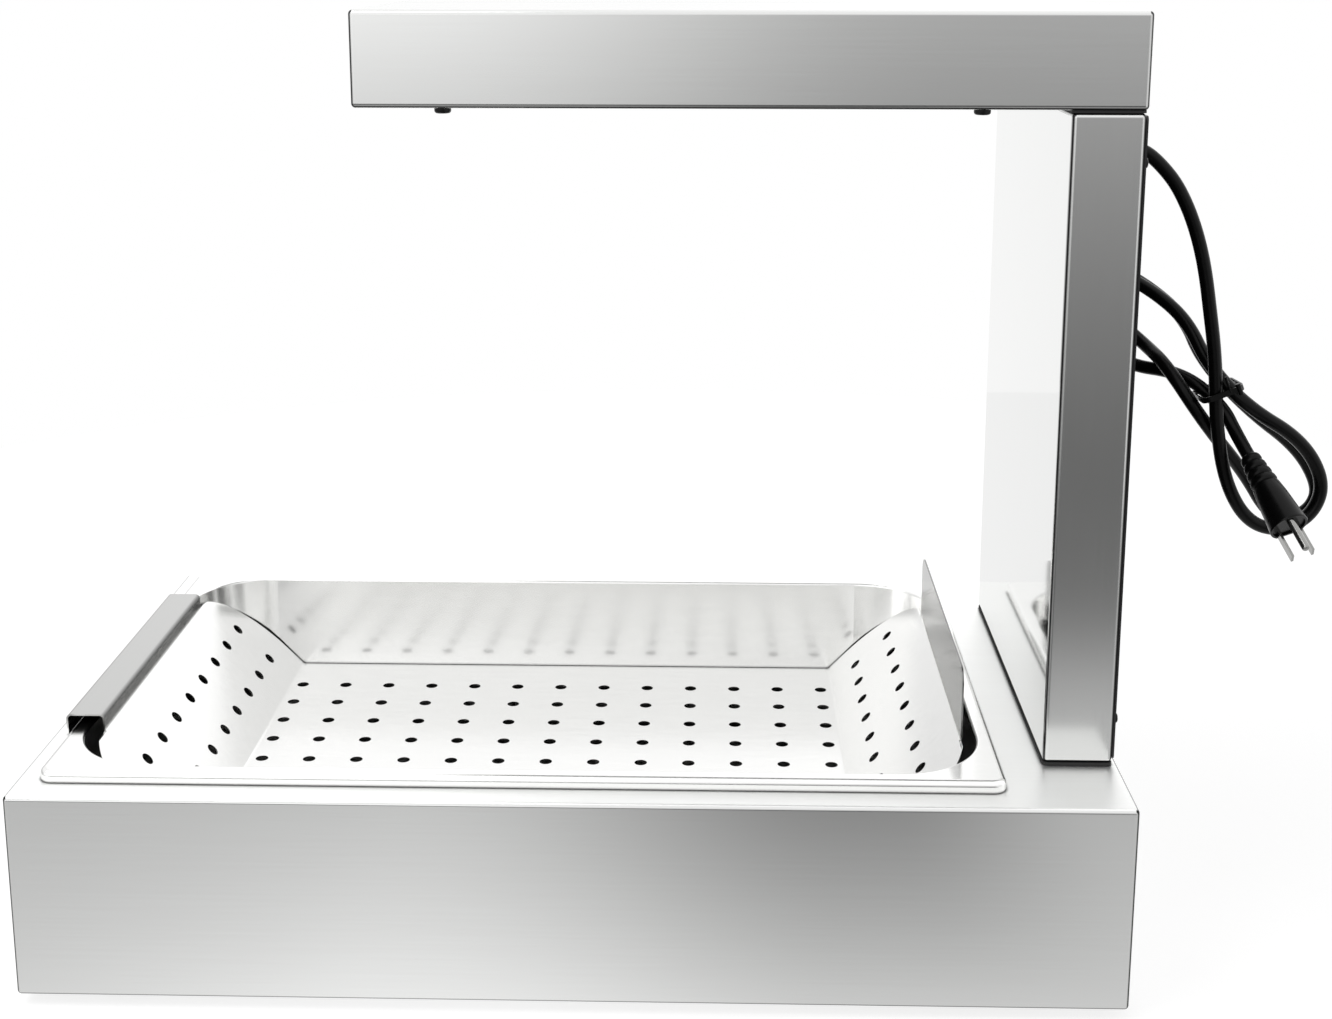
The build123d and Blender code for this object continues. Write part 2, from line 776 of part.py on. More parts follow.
with BuildPart() as element_bushings:
    for wall, outwards in ((reflector_left, -1), (reflector_right, 1)):
        face = wall + outwards * reflector_sheet
        with BuildSketch(Plane.YZ.offset(face)):
            with Locations(elements_at):
                Circle(bushing_flange_diameter / 2)
                Circle(element_diameter / 2 + hole_clearance / 2, mode=Mode.SUBTRACT)
        extrude(amount=outwards * bushing_flange)
        with BuildSketch(Plane.YZ.offset(wall - outwards * bushing_inside)):
            with Locations(elements_at):
                Circle(bushing_diameter / 2)
                Circle(element_diameter / 2 + hole_clearance / 2, mode=Mode.SUBTRACT)
        extrude(amount=outwards * (bushing_inside + reflector_sheet + bushing_outside))
save(element_bushings.part, "element_bushings")

cross_z = flange_top + guard_wire / 2
long_z = cross_z + guard_wire + guard_fit
with BuildPart() as heater_guard:
    with BuildSketch(Plane.XZ):
        with Locations((window_x, cross_z)):
            with GridLocations(guard_cross_pitch, guard_wire, guard_cross_count, 1):
                Circle(guard_wire / 2)
    extrude(amount=guard_cross_length / 2, both=True)
    with BuildSketch(Plane.YZ.offset(window_x)):
        with Locations((0, long_z)):
            with GridLocations(guard_long_pitch, guard_wire, guard_long_count, 1):
                Circle(guard_wire / 2)
    extrude(amount=guard_long_length / 2, both=True)
save(heater_guard.part, "heater_guard")

# Terminal block
inside_front = column_front + sheet
block_middle = block_bottom + block_height / 2
block_face = inside_front + block_depth
with BuildPart() as terminal_block:
    with BuildSketch(Plane.YZ.offset(inside_front)):
        with Locations((0, block_middle)):
            Rectangle(block_width, block_height)
            with GridLocations(block_stud_spacing, block_height, 2, 1):
                Circle(m3_diameter / 2 + hole_clearance, mode=Mode.SUBTRACT)
    extrude(amount=block_depth)
    with BuildSketch(Plane.YZ.offset(block_face)):
        with Locations((0, block_middle)):
            with GridLocations(block_way_pitch, block_row_pitch, block_ways, 2):
                Circle(block_screw_hole / 2)
    extrude(amount=-block_screw_depth, mode=Mode.SUBTRACT)
save(terminal_block.part, "terminal_block")

with BuildPart() as terminal_screws:
    with BuildSketch(Plane.YZ.offset(block_face - block_screw_depth)):
        with Locations((0, block_middle)):
            with GridLocations(block_way_pitch, block_row_pitch, block_ways, 2):
                Circle(block_screw_diameter / 2)
    extrude(amount=block_screw_length)
save(terminal_screws.part, "terminal_screws")

with BuildPart() as block_studs:
    with BuildSketch(Plane.YZ.offset(inside_front)):
        with Locations((0, block_middle)):
            with GridLocations(block_stud_spacing, block_height, 2, 1):
                Circle(m3_diameter / 2)
    extrude(amount=block_stud_length)
save(block_studs.part, "block_studs")

studs_at = [(y * block_stud_spacing / 2, block_middle) for y in (-1, 1)]
block_nuts = hex_nuts(studs_at, m3_nut_width, m3_nut_height, m3_diameter, Plane.YZ.offset(block_face))
save(block_nuts, "block_nuts")

# Switch on the column's far side
switch_panel = column_width / 2
pivot_y = switch_panel - rocker_pivot_in
with BuildPart() as switch_body:
    with BuildSketch(Plane.XZ.offset(-switch_panel)):
        with Locations((column_x, switch_height)):
            Rectangle(switch_body_wide, switch_body_tall)
    extrude(amount=switch_body_deep)
    with BuildSketch(Plane.XZ.offset(-switch_panel)):
        with Locations((column_x, switch_height)):
            RectangleRounded(switch_bezel_wide, switch_bezel_tall, bend)
    extrude(amount=-switch_bezel_thickness)
    with BuildSketch(Plane.XZ.offset(-switch_panel - switch_bezel_thickness)):
        with Locations((column_x, switch_height)):
            Rectangle(rocker_wide + 2 * rocker_fit, 2 * rocker_radius + 2 * rocker_fit)
    extrude(amount=switch_bezel_thickness + rocker_well, mode=Mode.SUBTRACT)
    with BuildSketch(Plane.YZ.offset(column_x)):
        with Locations((pivot_y, switch_height)):
            Circle(pivot_diameter / 2 + pivot_fit)
    extrude(amount=rocker_wide / 2 + pivot_length + rocker_fit, both=True, mode=Mode.SUBTRACT)
save(switch_body.part, "switch_body")

tilt = math.radians(rocker_tilt)
rocker_plane = Plane(
    origin=(column_x, pivot_y, switch_height),
    x_dir=(0, math.cos(tilt), -math.sin(tilt)),
    z_dir=(1, 0, 0),
)
with BuildPart() as switch_rocker:
    with BuildSketch(rocker_plane):
        with BuildLine():
            Polyline(
                (-rocker_under, -rocker_radius),
                (rocker_crest, -rocker_radius),
                (rocker_valley, 0),
                (rocker_crest, rocker_radius),
                (-rocker_under, rocker_radius),
                close=True,
            )
        make_face()
        Circle(rocker_radius, mode=Mode.INTERSECT)
    extrude(amount=rocker_wide / 2, both=True)
    with BuildSketch(rocker_plane):
        Circle(pivot_diameter / 2)
    extrude(amount=rocker_wide / 2 + pivot_length, both=True)
save(switch_rocker.part, "switch_rocker")

terminal_y = switch_panel - switch_body_deep
with BuildPart() as switch_terminals:
    with BuildSketch(Plane.XZ.offset(-terminal_y)):
        with Locations((column_x, switch_height)):
            with GridLocations(terminal_wide, terminal_spacing, 1, 2):
                Rectangle(terminal_wide, terminal_thick)
    extrude(amount=terminal_long)
save(switch_terminals.part, "switch_terminals")

# Leads inside the column and hood
block_top = block_bottom + block_height
pin_right = window_x + element_length / 2 + element_pin_length
pin_left = window_x - element_length / 2 - element_pin_length
lead_x = inside_front + lead_stand_off
with BuildPart() as element_leads:
    for side in (-1, 1):
        element_y = side * element_spacing / 2
        lead, _ = tube(
            [
                (lead_x, side * lead_spread, block_top),
                (lead_x, side * lead_spread, block_top + lead_rise),
                (column_x, side * duct_spread, column_top - duct_under),
                (column_x, side * duct_spread, flange_top + duct_over),
                (column_x - hood_turn_in, side * hood_turn_spread, element_z),
                (pin_right + pin_run, element_y, element_z),
                (pin_right, element_y, element_z),
            ],
            lead_diameter,
        )
        add(lead)
save(element_leads.part, "element_leads")

element_link, _ = tube(
    [
        (pin_left, -element_spacing / 2, element_z),
        (pin_left - link_out, -element_spacing / 2, element_z),
        (pin_left - link_out, element_spacing / 2, element_z),
        (pin_left, element_spacing / 2, element_z),
    ],
    lead_diameter,
)
save(element_link, "element_link")

terminal_end = terminal_y - terminal_long
with BuildPart() as switch_leads:
    for start_x, start_y, side in zip(switch_lead_x, switch_lead_y, (1, -1)):
        blade_z = switch_height + side * terminal_spacing / 2
        lead, _ = tube(
            [
                (lead_x + start_x, start_y, block_bottom),
                (lead_x + start_x, start_y, block_bottom - switch_lead_drop),
                (column_x - switch_lead_in, start_y + switch_lead_slack, blade_z + switch_lead_over),
                (column_x, terminal_end - switch_lead_run, blade_z),
                (column_x, terminal_end, blade_z),
            ],
            lead_diameter,
        )
        add(lead)
save(switch_leads.part, "switch_leads")

supply_x = inside_front + block_depth / 2
gland_end = column_rear - gland_inside
supply_tail, _ = tube(
    [
        (gland_end, 0, gland_height),
        (supply_x + supply_turn_x, 0, gland_height),
        (supply_x, 0, gland_height - supply_turn_z),
        (supply_x, 0, block_top),
    ],
    supply_diameter,
)
save(supply_tail, "supply_tail")

# Gland
with BuildPart() as cord_gland:
    with BuildSketch(Plane.XZ):
        with BuildLine():
            Polyline(
                (gland_end, gland_height),
                (gland_end, gland_height + gland_thread / 2),
                (cover_outside, gland_height + gland_thread / 2),
                (cover_outside, gland_height + gland_flange_diameter / 2),
                (cover_outside + gland_flange, gland_height + gland_flange_diameter / 2),
                (cover_outside + gland_flange, gland_height + gland_root / 2),
                (gland_tip.X, gland_height + gland_nose / 2),
                (gland_tip.X, gland_height),
                close=True,
            )
        make_face()
    revolve(axis=Axis((0, 0, gland_height), (1, 0, 0)))
save(cord_gland.part, "cord_gland")

gland_nut = hex_nuts(
    [(0, gland_height)],
    gland_nut_width,
    gland_nut_height,
    gland_thread,
    Plane.YZ.offset(column_rear - gland_nut_height),
)
save(gland_nut, "gland_nut")

# Cord from the gland to the hank
lead_route = [gland_tip] + [gland_tip + Vector(x, 0, z) for x, z in lead_bends]
cord_lead, lead_radii = tube(lead_route, cord_diameter)
save(cord_lead, "cord_lead")
cord_section = math.pi * cord_diameter**2 / 4
lead_runs = sum((high - low).length for low, high in zip(lead_route, lead_route[1:]))
print("cord lead radii", [round(radius, 1) for radius in lead_radii])
print("cord lead", round(cord_lead.volume / cord_section, 1), "of runs", round(lead_runs, 1))

# Hank: two loops, each with a lower and an upper lobe, drawn in at the waist.
# Each stop is a point of the cord's middle line and its direction there.
hank_start = lead_route[-1]
hank_dir = (hank_start - lead_route[-2]).normalized()
waist_right = waist_along.cross(waist_side).normalized()
waist_back = waist_right.cross(waist_along)
lower_right = Vector(-lower_along.Z, 0, lower_along.X)
upper_right = upper_back.cross(upper_along).normalized()
lefts = (
    (gland_tip + main_from_gland, main_along),
    (gland_tip + cross_from_gland, cross_along),
)
stops = [(hank_start + hank_dir * cord_diameter, hank_dir)]
for left, reach, shift, radius, back, right_back, lobe in zip(
    lefts, lower_reach, lower_shift, lower_radius, lower_backs, right_backs, upper_lobes
):
    middle = waist + lower_along * reach + lower_right * shift + Vector(0, back, 0)
    stops.append(left)
    stops.append((middle - lower_right * radius, lower_along))
    stops.append((middle + lower_along * radius, lower_right))
    stops.append((middle + lower_right * radius, -lower_along))
    stops.append((waist + waist_right * right_out + waist_back * right_back, -waist_along))
    for (along, right, behind), direction in zip(lobe, (upper_along, -upper_right, -upper_along)):
        stops.append((waist + upper_along * along + upper_right * right + upper_back * behind, direction))
stops.append((waist - waist_right * tail_left + waist_back * tail_back, tail_along))
stops.append((plug_start - plug_along * cord_diameter, plug_along))


def biarc(start, start_dir, end, end_dir):
    """The two tangent arcs from start to end: start, middle, end, turn and radius of each"""
    chord = end - start
    square = 2 * (1 - start_dir.dot(end_dir))
    across = chord.dot(start_dir + end_dir)
    reach = (math.sqrt(across**2 + square * chord.dot(chord)) - across) / square
    corner_a = start + start_dir * reach
    corner_b = end - end_dir * reach
    joint = (corner_a + corner_b) * 0.5
    joint_dir = (corner_b - corner_a).normalized()
    arcs = []
    for low, corner, high, low_dir, high_dir in (
        (start, corner_a, joint, start_dir, joint_dir),
        (joint, corner_b, end, joint_dir, end_dir),
    ):
        turn = math.radians(low_dir.get_angle(high_dir))
        weight = math.cos(turn / 2)
        mid = (low + corner * (2 * weight) + high) * (1 / (2 + 2 * weight))
        arcs.append((low, mid, high, turn, reach / math.tan(turn / 2)))
    return arcs


hank_arcs = []
for (start, start_dir), (end, end_dir) in zip(stops, stops[1:]):
    hank_arcs += biarc(start, start_dir, end, end_dir)
with BuildPart() as cord_hank:
    with BuildLine() as hank_path:
        Line(hank_start, stops[0][0])
        for low, mid, high, turn, radius in hank_arcs:
            ThreePointArc(low, mid, high)
        Line(stops[-1][0], plug_start)
    with BuildSketch(Plane(hank_start, z_dir=hank_dir)):
        Circle(cord_diameter / 2)
    sweep(path=hank_path.line)
save(cord_hank.part, "cord_hank")

hank_length = 2 * cord_diameter + sum(radius * turn for low, mid, high, turn, radius in hank_arcs)
trail = []
for low, mid, high, turn, radius in hank_arcs:
    arc = Edge.make_three_point_arc(low, mid, high)
    steps = math.ceil(radius * turn / trail_step)
    trail += [arc.position_at(step / steps) for step in range(steps)]
skipped = math.ceil(3 * cord_diameter / trail_step)
apart = min((near - far).length for place, near in enumerate(trail) for far in trail[place + skipped :])
print("hank length", round(hank_length, 1), "least radius", round(min(arc[4] for arc in hank_arcs), 1))
print("hank gap to itself", round(apart - cord_diameter, 2), "solids", len(cord_hank.part.solids()))
print("hank", round(cord_hank.part.volume / cord_section, 1), "of length", round(hank_length, 1))

# Wire tie around the hank's waist
tie_right = Vector(-tie_along.Z, 0, tie_along.X).normalized()
tie_back = tie_right.cross(tie_along)
tie_middle = waist + tie_right * tie_shift_right + tie_back * tie_shift_back
tie_front = tie_middle - tie_back * (tie_deep / 2 + tie_thickness / 2)
with BuildPart() as cord_tie:
    with BuildSketch(Plane(origin=tie_middle, x_dir=tie_right, z_dir=tie_along)):
        RectangleRounded(
            tie_wide + 2 * tie_thickness, tie_deep + 2 * tie_thickness, tie_corner + tie_thickness
        )
        RectangleRounded(tie_wide, tie_deep, tie_corner, mode=Mode.SUBTRACT)
    extrude(amount=tie_width / 2, both=True)
    with BuildSketch(Plane(origin=tie_front + tie_right * tie_knot_right, z_dir=tie_along)):
        Circle(tie_knot_diameter / 2)
    extrude(amount=tie_knot_length / 2, both=True)
    with BuildSketch(Plane(origin=tie_front + tie_right * tie_spike_right, z_dir=-tie_along)):
        Circle(tie_spike_diameter / 2)
    extrude(amount=tie_spike_length)
save(cord_tie.part, "cord_tie")

# Plug: a round moulding with a flat on the blades' side and a recessed face
plug_side = plug_along.cross(Vector(0, 1, 0)).normalized()
plug_plane = Plane(origin=plug_start, x_dir=plug_along, z_dir=plug_side)
relief_end = plug_relief_length
body_end = relief_end + plug_body_length
face_plane = Plane(
    origin=plug_start + plug_along * body_end,
    x_dir=plug_side.rotate(Axis((0, 0, 0), plug_along), -plug_turn),
    z_dir=plug_along,
)
rib_pitch = plug_relief_length / plug_relief_ribs
with BuildPart() as plug_body:
    with BuildSketch(plug_plane):
        with BuildLine():
            Polyline(
                (0, 0),
                (0, plug_relief_root / 2),
                (relief_end, plug_relief_tip / 2),
                (relief_end, plug_body_root / 2),
                (relief_end + plug_shoulder, plug_body_waist / 2),
                (body_end, plug_body_face / 2),
                (body_end, 0),
                close=True,
            )
        make_face()
        for rib in range(plug_relief_ribs):
            rib_middle = (rib + 0.5) * rib_pitch
            rib_flare = (plug_relief_tip - plug_relief_root) * rib_middle / relief_end
            rib_radius = (plug_relief_root + rib_flare) / 2
            with Locations((rib_middle, rib_radius)):
                Rectangle(plug_rib_gap, 2 * plug_rib_depth, mode=Mode.SUBTRACT)
    revolve(axis=Axis(plug_start, plug_along))
    with BuildSketch(face_plane):
        with Locations((0, -plug_flat - plug_body_face / 2)):
            Rectangle(2 * plug_body_face, plug_body_face)
    extrude(amount=-plug_body_length, mode=Mode.SUBTRACT)
    with BuildSketch(face_plane):
        Circle(plug_body_face / 2 - plug_lip)
        with Locations((0, plug_lip - plug_flat - plug_body_face / 2)):
            Rectangle(2 * plug_body_face, plug_body_face, mode=Mode.SUBTRACT)
    extrude(amount=-plug_recess, mode=Mode.SUBTRACT)
save(plug_body.part, "plug_body")

prong_plane = face_plane.offset(-plug_recess)
with BuildPart() as plug_blades:
    with BuildSketch(prong_plane):
        with Locations((0, -blade_offset)):
            with GridLocations(blade_spacing, blade_width, 2, 1):
                Rectangle(blade_thickness, blade_width)
    extrude(amount=blade_length + plug_recess)
save(plug_blades.part, "plug_blades")

with BuildPart() as plug_earth_pin:
    with BuildSketch(prong_plane):
        with Locations((0, earth_offset)):
            Circle(earth_diameter / 2)
    extrude(amount=earth_length + plug_recess)
    fillet(plug_earth_pin.edges().sort_by(Axis(plug_start, plug_along))[-1], earth_diameter / 3)
save(plug_earth_pin.part, "plug_earth_pin")
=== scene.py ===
import math

import bpy
from mathutils import Matrix, Vector


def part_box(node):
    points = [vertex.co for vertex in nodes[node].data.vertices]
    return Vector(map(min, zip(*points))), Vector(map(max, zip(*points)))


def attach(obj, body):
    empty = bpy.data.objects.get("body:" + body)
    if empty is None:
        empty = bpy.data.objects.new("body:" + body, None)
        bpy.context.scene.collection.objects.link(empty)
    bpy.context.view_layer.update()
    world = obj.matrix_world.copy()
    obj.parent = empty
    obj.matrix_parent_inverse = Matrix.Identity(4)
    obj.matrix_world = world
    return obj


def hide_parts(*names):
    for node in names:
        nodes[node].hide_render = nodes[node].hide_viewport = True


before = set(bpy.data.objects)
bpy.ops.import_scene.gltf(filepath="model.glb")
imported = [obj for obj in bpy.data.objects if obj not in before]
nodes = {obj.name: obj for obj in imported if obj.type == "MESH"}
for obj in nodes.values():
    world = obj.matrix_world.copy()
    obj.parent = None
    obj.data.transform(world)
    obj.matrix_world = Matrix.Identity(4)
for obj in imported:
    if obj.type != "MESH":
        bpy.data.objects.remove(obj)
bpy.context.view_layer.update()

# Base box and its bottom plate. Stainless sheet, laser-cut and folded, welded at the corners and closed
# by a plate from below. The sheet comes ready brushed, so light spreads into soft bands on it.


def linear(code):
    """sRGB hex colour as linear red, green, blue and alpha"""
    parts = [int(code[place : place + 2], 16) / 255 for place in (1, 3, 5)]
    return (*[c / 12.92 if c <= 0.04045 else ((c + 0.055) / 1.055) ** 2.4 for c in parts], 1.0)


def add(tree, kind, inputs=(), **settings):
    """A new node with its settings; an input takes another node's output or a value"""
    made = tree.nodes.new(kind)
    for name, value in settings.items():
        setattr(made, name, value)
    for socket, value in dict(inputs).items():
        if isinstance(value, bpy.types.NodeSocket):
            tree.links.new(value, made.inputs[socket])
        else:
            made.inputs[socket].default_value = value
    return made


def surface(name, sockets):
    """A new material, with the values that are the same all over set on its shader"""
    made = bpy.data.materials.new(name)
    made.use_nodes = True
    shader = made.node_tree.nodes["Principled BSDF"]
    for socket, value in sockets.items():
        shader.inputs[socket].default_value = value
    return made, made.node_tree, shader


def stainless(name, tones, gloss, grain):
    """Stainless sheet: tone and gloss vary along the grain, and seams and crevices get painted shade"""
    made, tree, shader = surface(name, {"Metallic": 1.0})
    place = add(tree, "ShaderNodeTexCoord").outputs["Object"]
    run = add(tree, "ShaderNodeMapping", {"Vector": place, "Scale": grain}).outputs[0]
    streak = add(tree, "ShaderNodeTexNoise", {"Vector": run, "Scale": 1.0, "Detail": 4.0}).outputs["Fac"]
    sheet = {0: streak, 6: linear(tones[0]), 7: linear(tones[1])}
    sheet = add(tree, "ShaderNodeMix", sheet, data_type="RGBA").outputs[2]
    tone = sheet
    # Painted shade: an occlusion test darkens the sheet towards near black in seams, creases and crevices.
    for gap, shut, open_air in ((0.003, 0.45, 0.8), (0.012, 0.1, 0.35)):
        air = add(tree, "ShaderNodeAmbientOcclusion", {"Distance": gap}, samples=8).outputs["AO"]
        unshaded = {"Value": air, "From Min": shut, "From Max": open_air}
        unshaded = add(tree, "ShaderNodeMapRange", unshaded).outputs[0]
        tone = {0: unshaded, 6: linear("#141414"), 7: tone}
        tone = add(tree, "ShaderNodeMix", tone, data_type="RGBA").outputs[2]
    sheen = {"Value": streak, "To Min": gloss[0], "To Max": gloss[1]}
    sheen = add(tree, "ShaderNodeMapRange", sheen).outputs[0]
    tree.links.new(tone, shader.inputs["Base Color"])
    tree.links.new(sheen, shader.inputs["Roughness"])
    return made, tree, shader


def paint_bend_shade(tree, shader):
    """Dark lines painted along the upright and lower bends, as painted shade on bends facing down or sideways
    """
    least_lean = 0.12
    facing = add(tree, "ShaderNodeNewGeometry").outputs["True Normal"]
    low = add(tree, "ShaderNodeSeparateXYZ", {0: facing}).outputs["Z"]
    low = add(tree, "ShaderNodeMath", {0: low, 1: -least_lean}, operation="LESS_THAN").outputs[0]
    size = add(tree, "ShaderNodeVectorMath", {0: facing}, operation="ABSOLUTE").outputs[0]
    size = add(tree, "ShaderNodeSeparateXYZ", {0: size})
    aside = {0: size.outputs["X"], 1: least_lean}
    aside = add(tree, "ShaderNodeMath", aside, operation="GREATER_THAN").outputs[0]
    shown = add(tree, "ShaderNodeMath", {0: low, 1: aside}, operation="MAXIMUM").outputs[0]
    most = size.outputs["X"]
    for axis in "YZ":
        most = add(tree, "ShaderNodeMath", {0: most, 1: size.outputs[axis]}, operation="MAXIMUM").outputs[0]
    bent = {"Value": most, "From Min": 0.95, "From Max": 0.83}
    bent = add(tree, "ShaderNodeMapRange", bent).outputs[0]
    bent = add(tree, "ShaderNodeMath", {0: bent, 1: shown}, operation="MULTIPLY").outputs[0]
    tone = {0: bent, 6: shader.inputs["Base Color"].links[0].from_socket, 7: linear("#2c2c2c")}
    tone = add(tree, "ShaderNodeMix", tone, data_type="RGBA").outputs[2]
    tree.links.new(tone, shader.inputs["Base Color"])


def dress(material, *names):
    """Gives CAD nodes their finish"""
    for name in names:
        nodes[name].data.materials.clear()
        nodes[name].data.materials.append(material)


# Brushed 304 sheet: a satin mirror with faint streaks. Grit lines 0.1 mm apart are drawn 1 mm apart, so
# that they show at all.
level_grain = (14, 900, 900)
sheet_tones = ("#dadad9", "#dedfde")
brushed, tree, shader = stainless("brushed_stainless_sheet", sheet_tones, (0.16, 0.18), level_grain)
# Painted shade along the sheet's upright and lower bends.
paint_bend_shade(tree, shader)
dress(brushed, "base_bottom_plate")

# Satin 304 sheet: the box's top is rubbed duller than its sides, so it spreads what it mirrors.
# The top is also painted paler than the sides, as painted light.
satin, tree, shader = stainless("satin_stainless_box", sheet_tones, (0.15, 0.17), level_grain)
# Painted shade along the sheet's upright and lower bends.
paint_bend_shade(tree, shader)
facing = add(tree, "ShaderNodeNewGeometry").outputs["True Normal"]
facing = add(tree, "ShaderNodeSeparateXYZ", {0: facing}).outputs["Z"]
above = add(tree, "ShaderNodeMapRange", {"Value": facing, "From Min": 0.7, "From Max": 0.95}).outputs[0]
sheen = {0: above, 2: shader.inputs["Roughness"].links[0].from_socket, 3: 0.42}
tree.links.new(add(tree, "ShaderNodeMix", sheen).outputs[0], shader.inputs["Roughness"])
steel = shader.inputs["Base Color"].links[0].from_socket
# Painted light: faces turned upward are painted 1.3 times paler.
painted_top_light = {0: above, 6: (1.0, 1.0, 1.0, 1.0), 7: (1.3, 1.3, 1.3, 1.0)}
painted_top_light = add(tree, "ShaderNodeMix", painted_top_light, data_type="RGBA").outputs[2]
tone = add(tree, "ShaderNodeMix", {0: 1.0, 6: steel, 7: painted_top_light}, data_type="RGBA", blend_type="MULTIPLY")
tree.links.new(tone.outputs[2], shader.inputs["Base Color"])
dress(satin, "base_shell")

# Feet and the screws below. Four moulded rubber feet, each held by a screw and nut, and ten small
# cross-recess screws that hold the bottom plate to the box's turned-in flanges.
# Moulded rubber: near black and matt, with the fine skin of the mould.
rubber, tree, shader = surface("moulded_black_rubber", {"IOR": 1.52})
place = add(tree, "ShaderNodeTexCoord").outputs["Object"]
grain = add(tree, "ShaderNodeTexNoise", {"Vector": place, "Scale": 500.0, "Detail": 3.0}).outputs["Fac"]
tone = add(tree, "ShaderNodeMix", {0: grain, 6: linear("#0d0d0d"), 7: linear("#1a1a1a")}, data_type="RGBA")
dull = add(tree, "ShaderNodeMapRange", {"Value": grain, "To Min": 0.6, "To Max": 0.8}).outputs[0]
tree.links.new(tone.outputs[2], shader.inputs["Base Color"])
tree.links.new(dull, shader.inputs["Roughness"])
dress(rubber, "rubber_feet")

# Cold-headed stainless: rolled smooth by the die, so it glints, with slight dulling from handling.
headed, tree, shader = surface("cold_headed_stainless", {"Metallic": 1.0, "Base Color": linear("#c9c9c7")})
place = add(tree, "ShaderNodeTexCoord").outputs["Object"]
grain = add(tree, "ShaderNodeTexNoise", {"Vector": place, "Scale": 900.0, "Detail": 2.0}).outputs["Fac"]
dull = add(tree, "ShaderNodeMapRange", {"Value": grain, "To Min": 0.22, "To Max": 0.36}).outputs[0]
tree.links.new(dull, shader.inputs["Roughness"])
dress(headed, "foot_nuts")


def pick(piece, test):
    """Selects the faces of a piece that pass a test, ready for editing"""
    bpy.ops.object.mode_set(mode="OBJECT")
    bpy.context.tool_settings.mesh_select_mode = (False, False, True)
    for group in (piece.data.vertices, piece.data.edges, piece.data.polygons):
        group.foreach_set("select", [False] * len(group))
    for face in piece.data.polygons:
        face.select = test(face)
    bpy.ops.object.mode_set(mode="EDIT")


def cross_screw(head, rise, shank, length):
    """A screw with a rounded head above the origin, a cross recess in it and its shank below"""
    bpy.ops.object.select_all(action="DESELECT")
    bpy.ops.mesh.primitive_cylinder_add(vertices=32, radius=head / 2, depth=rise, location=(0, 0, rise / 2))
    made = bpy.context.object
    bpy.ops.object.transform_apply(location=True)
    pick(made, lambda face: face.normal.z > 0.9)
    bpy.ops.mesh.bevel(offset=rise * 0.5, segments=4, affect="EDGES")
    pick(made, lambda face: face.normal.z < -0.9)
    bpy.ops.mesh.inset(thickness=(head - shank) / 2)
    bpy.ops.mesh.extrude_region_move(TRANSFORM_OT_translate={"value": (0, 0, -length)})
    bpy.ops.object.mode_set(mode="OBJECT")
    for turn in (0, math.pi / 2):
        bpy.ops.mesh.primitive_cube_add(
            size=1, location=(0, 0, rise), rotation=(0, 0, turn), scale=(head * 0.56, head * 0.13, rise * 1.1)
        )
        cutter = bpy.context.object
        bpy.context.view_layer.objects.active = made
        cut = made.modifiers.new("recess", "BOOLEAN")
        cut.operation = "DIFFERENCE"
        cut.object = cutter
        bpy.ops.object.modifier_apply(modifier=cut.name)
        bpy.data.objects.remove(cutter)
    bpy.ops.object.select_all(action="DESELECT")
    made.select_set(True)
    bpy.ops.object.shade_smooth_by_angle(angle=0.6)
    return made


def spread(piece, name, places):
    """Copies of a piece, each with its own mesh, set in their places and joined into one"""
    bpy.ops.object.select_all(action="DESELECT")
    for place in places:
        copy = piece.copy()
        copy.data = piece.data.copy()
        copy.data.transform(place)
        bpy.context.scene.collection.objects.link(copy)
        copy.select_set(True)
        bpy.context.view_layer.objects.active = copy
    bpy.data.objects.remove(piece)
    bpy.ops.object.join()
    bpy.context.object.name = name
    return bpy.context.object


def set_screws(node, finish, sizes, turn, spots):
    """Puts cross-recess screws for a CAD node's plain ones; a spot is where a head's underside lies"""
    head, rise, shank = sizes
    low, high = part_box(node)
    length = abs((high - low).dot(turn @ Vector((0.0, 0.0, 1.0)))) - rise
    screw = cross_screw(head, rise, shank, length)
    made = spread(screw, node + "_recessed", [Matrix.Translation(spot) @ turn.to_4x4() for spot in spots])
    made.data.materials.append(finish)
    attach(made, "warmer")
    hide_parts(node)


downwards = Matrix.Rotation(math.pi, 3, "X")
# A screw's sizes are the width and height of its head and the width of its shank.
small_screw = (0.0056, 0.0021, 0.003)
inset, rise = small_screw[0] / 2, small_screw[1]
plate_pitch, plate_end_pitch = 0.25, 0.075
low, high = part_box("bottom_plate_screws")
sides, ends = (low.y + inset, high.y - inset), (low.x + inset, high.x - inset)
spots = [(x, y, low.z + rise) for x in (-plate_pitch, 0.0, plate_pitch) for y in sides]
spots += [(x, y, low.z + rise) for x in ends for y in (-plate_end_pitch, plate_end_pitch)]
set_screws("bottom_plate_screws", headed, small_screw, downwards, spots)

foot_screw = (0.008, 0.0024, 0.004)
inset, rise = foot_screw[0] / 2, foot_screw[1]
low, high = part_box("foot_screws")
sides, ends = (low.y + inset, high.y - inset), (low.x + inset, high.x - inset)
spots = [(x, y, low.z + rise) for x in ends for y in sides]
set_screws("foot_screws", headed, foot_screw, downwards, spots)

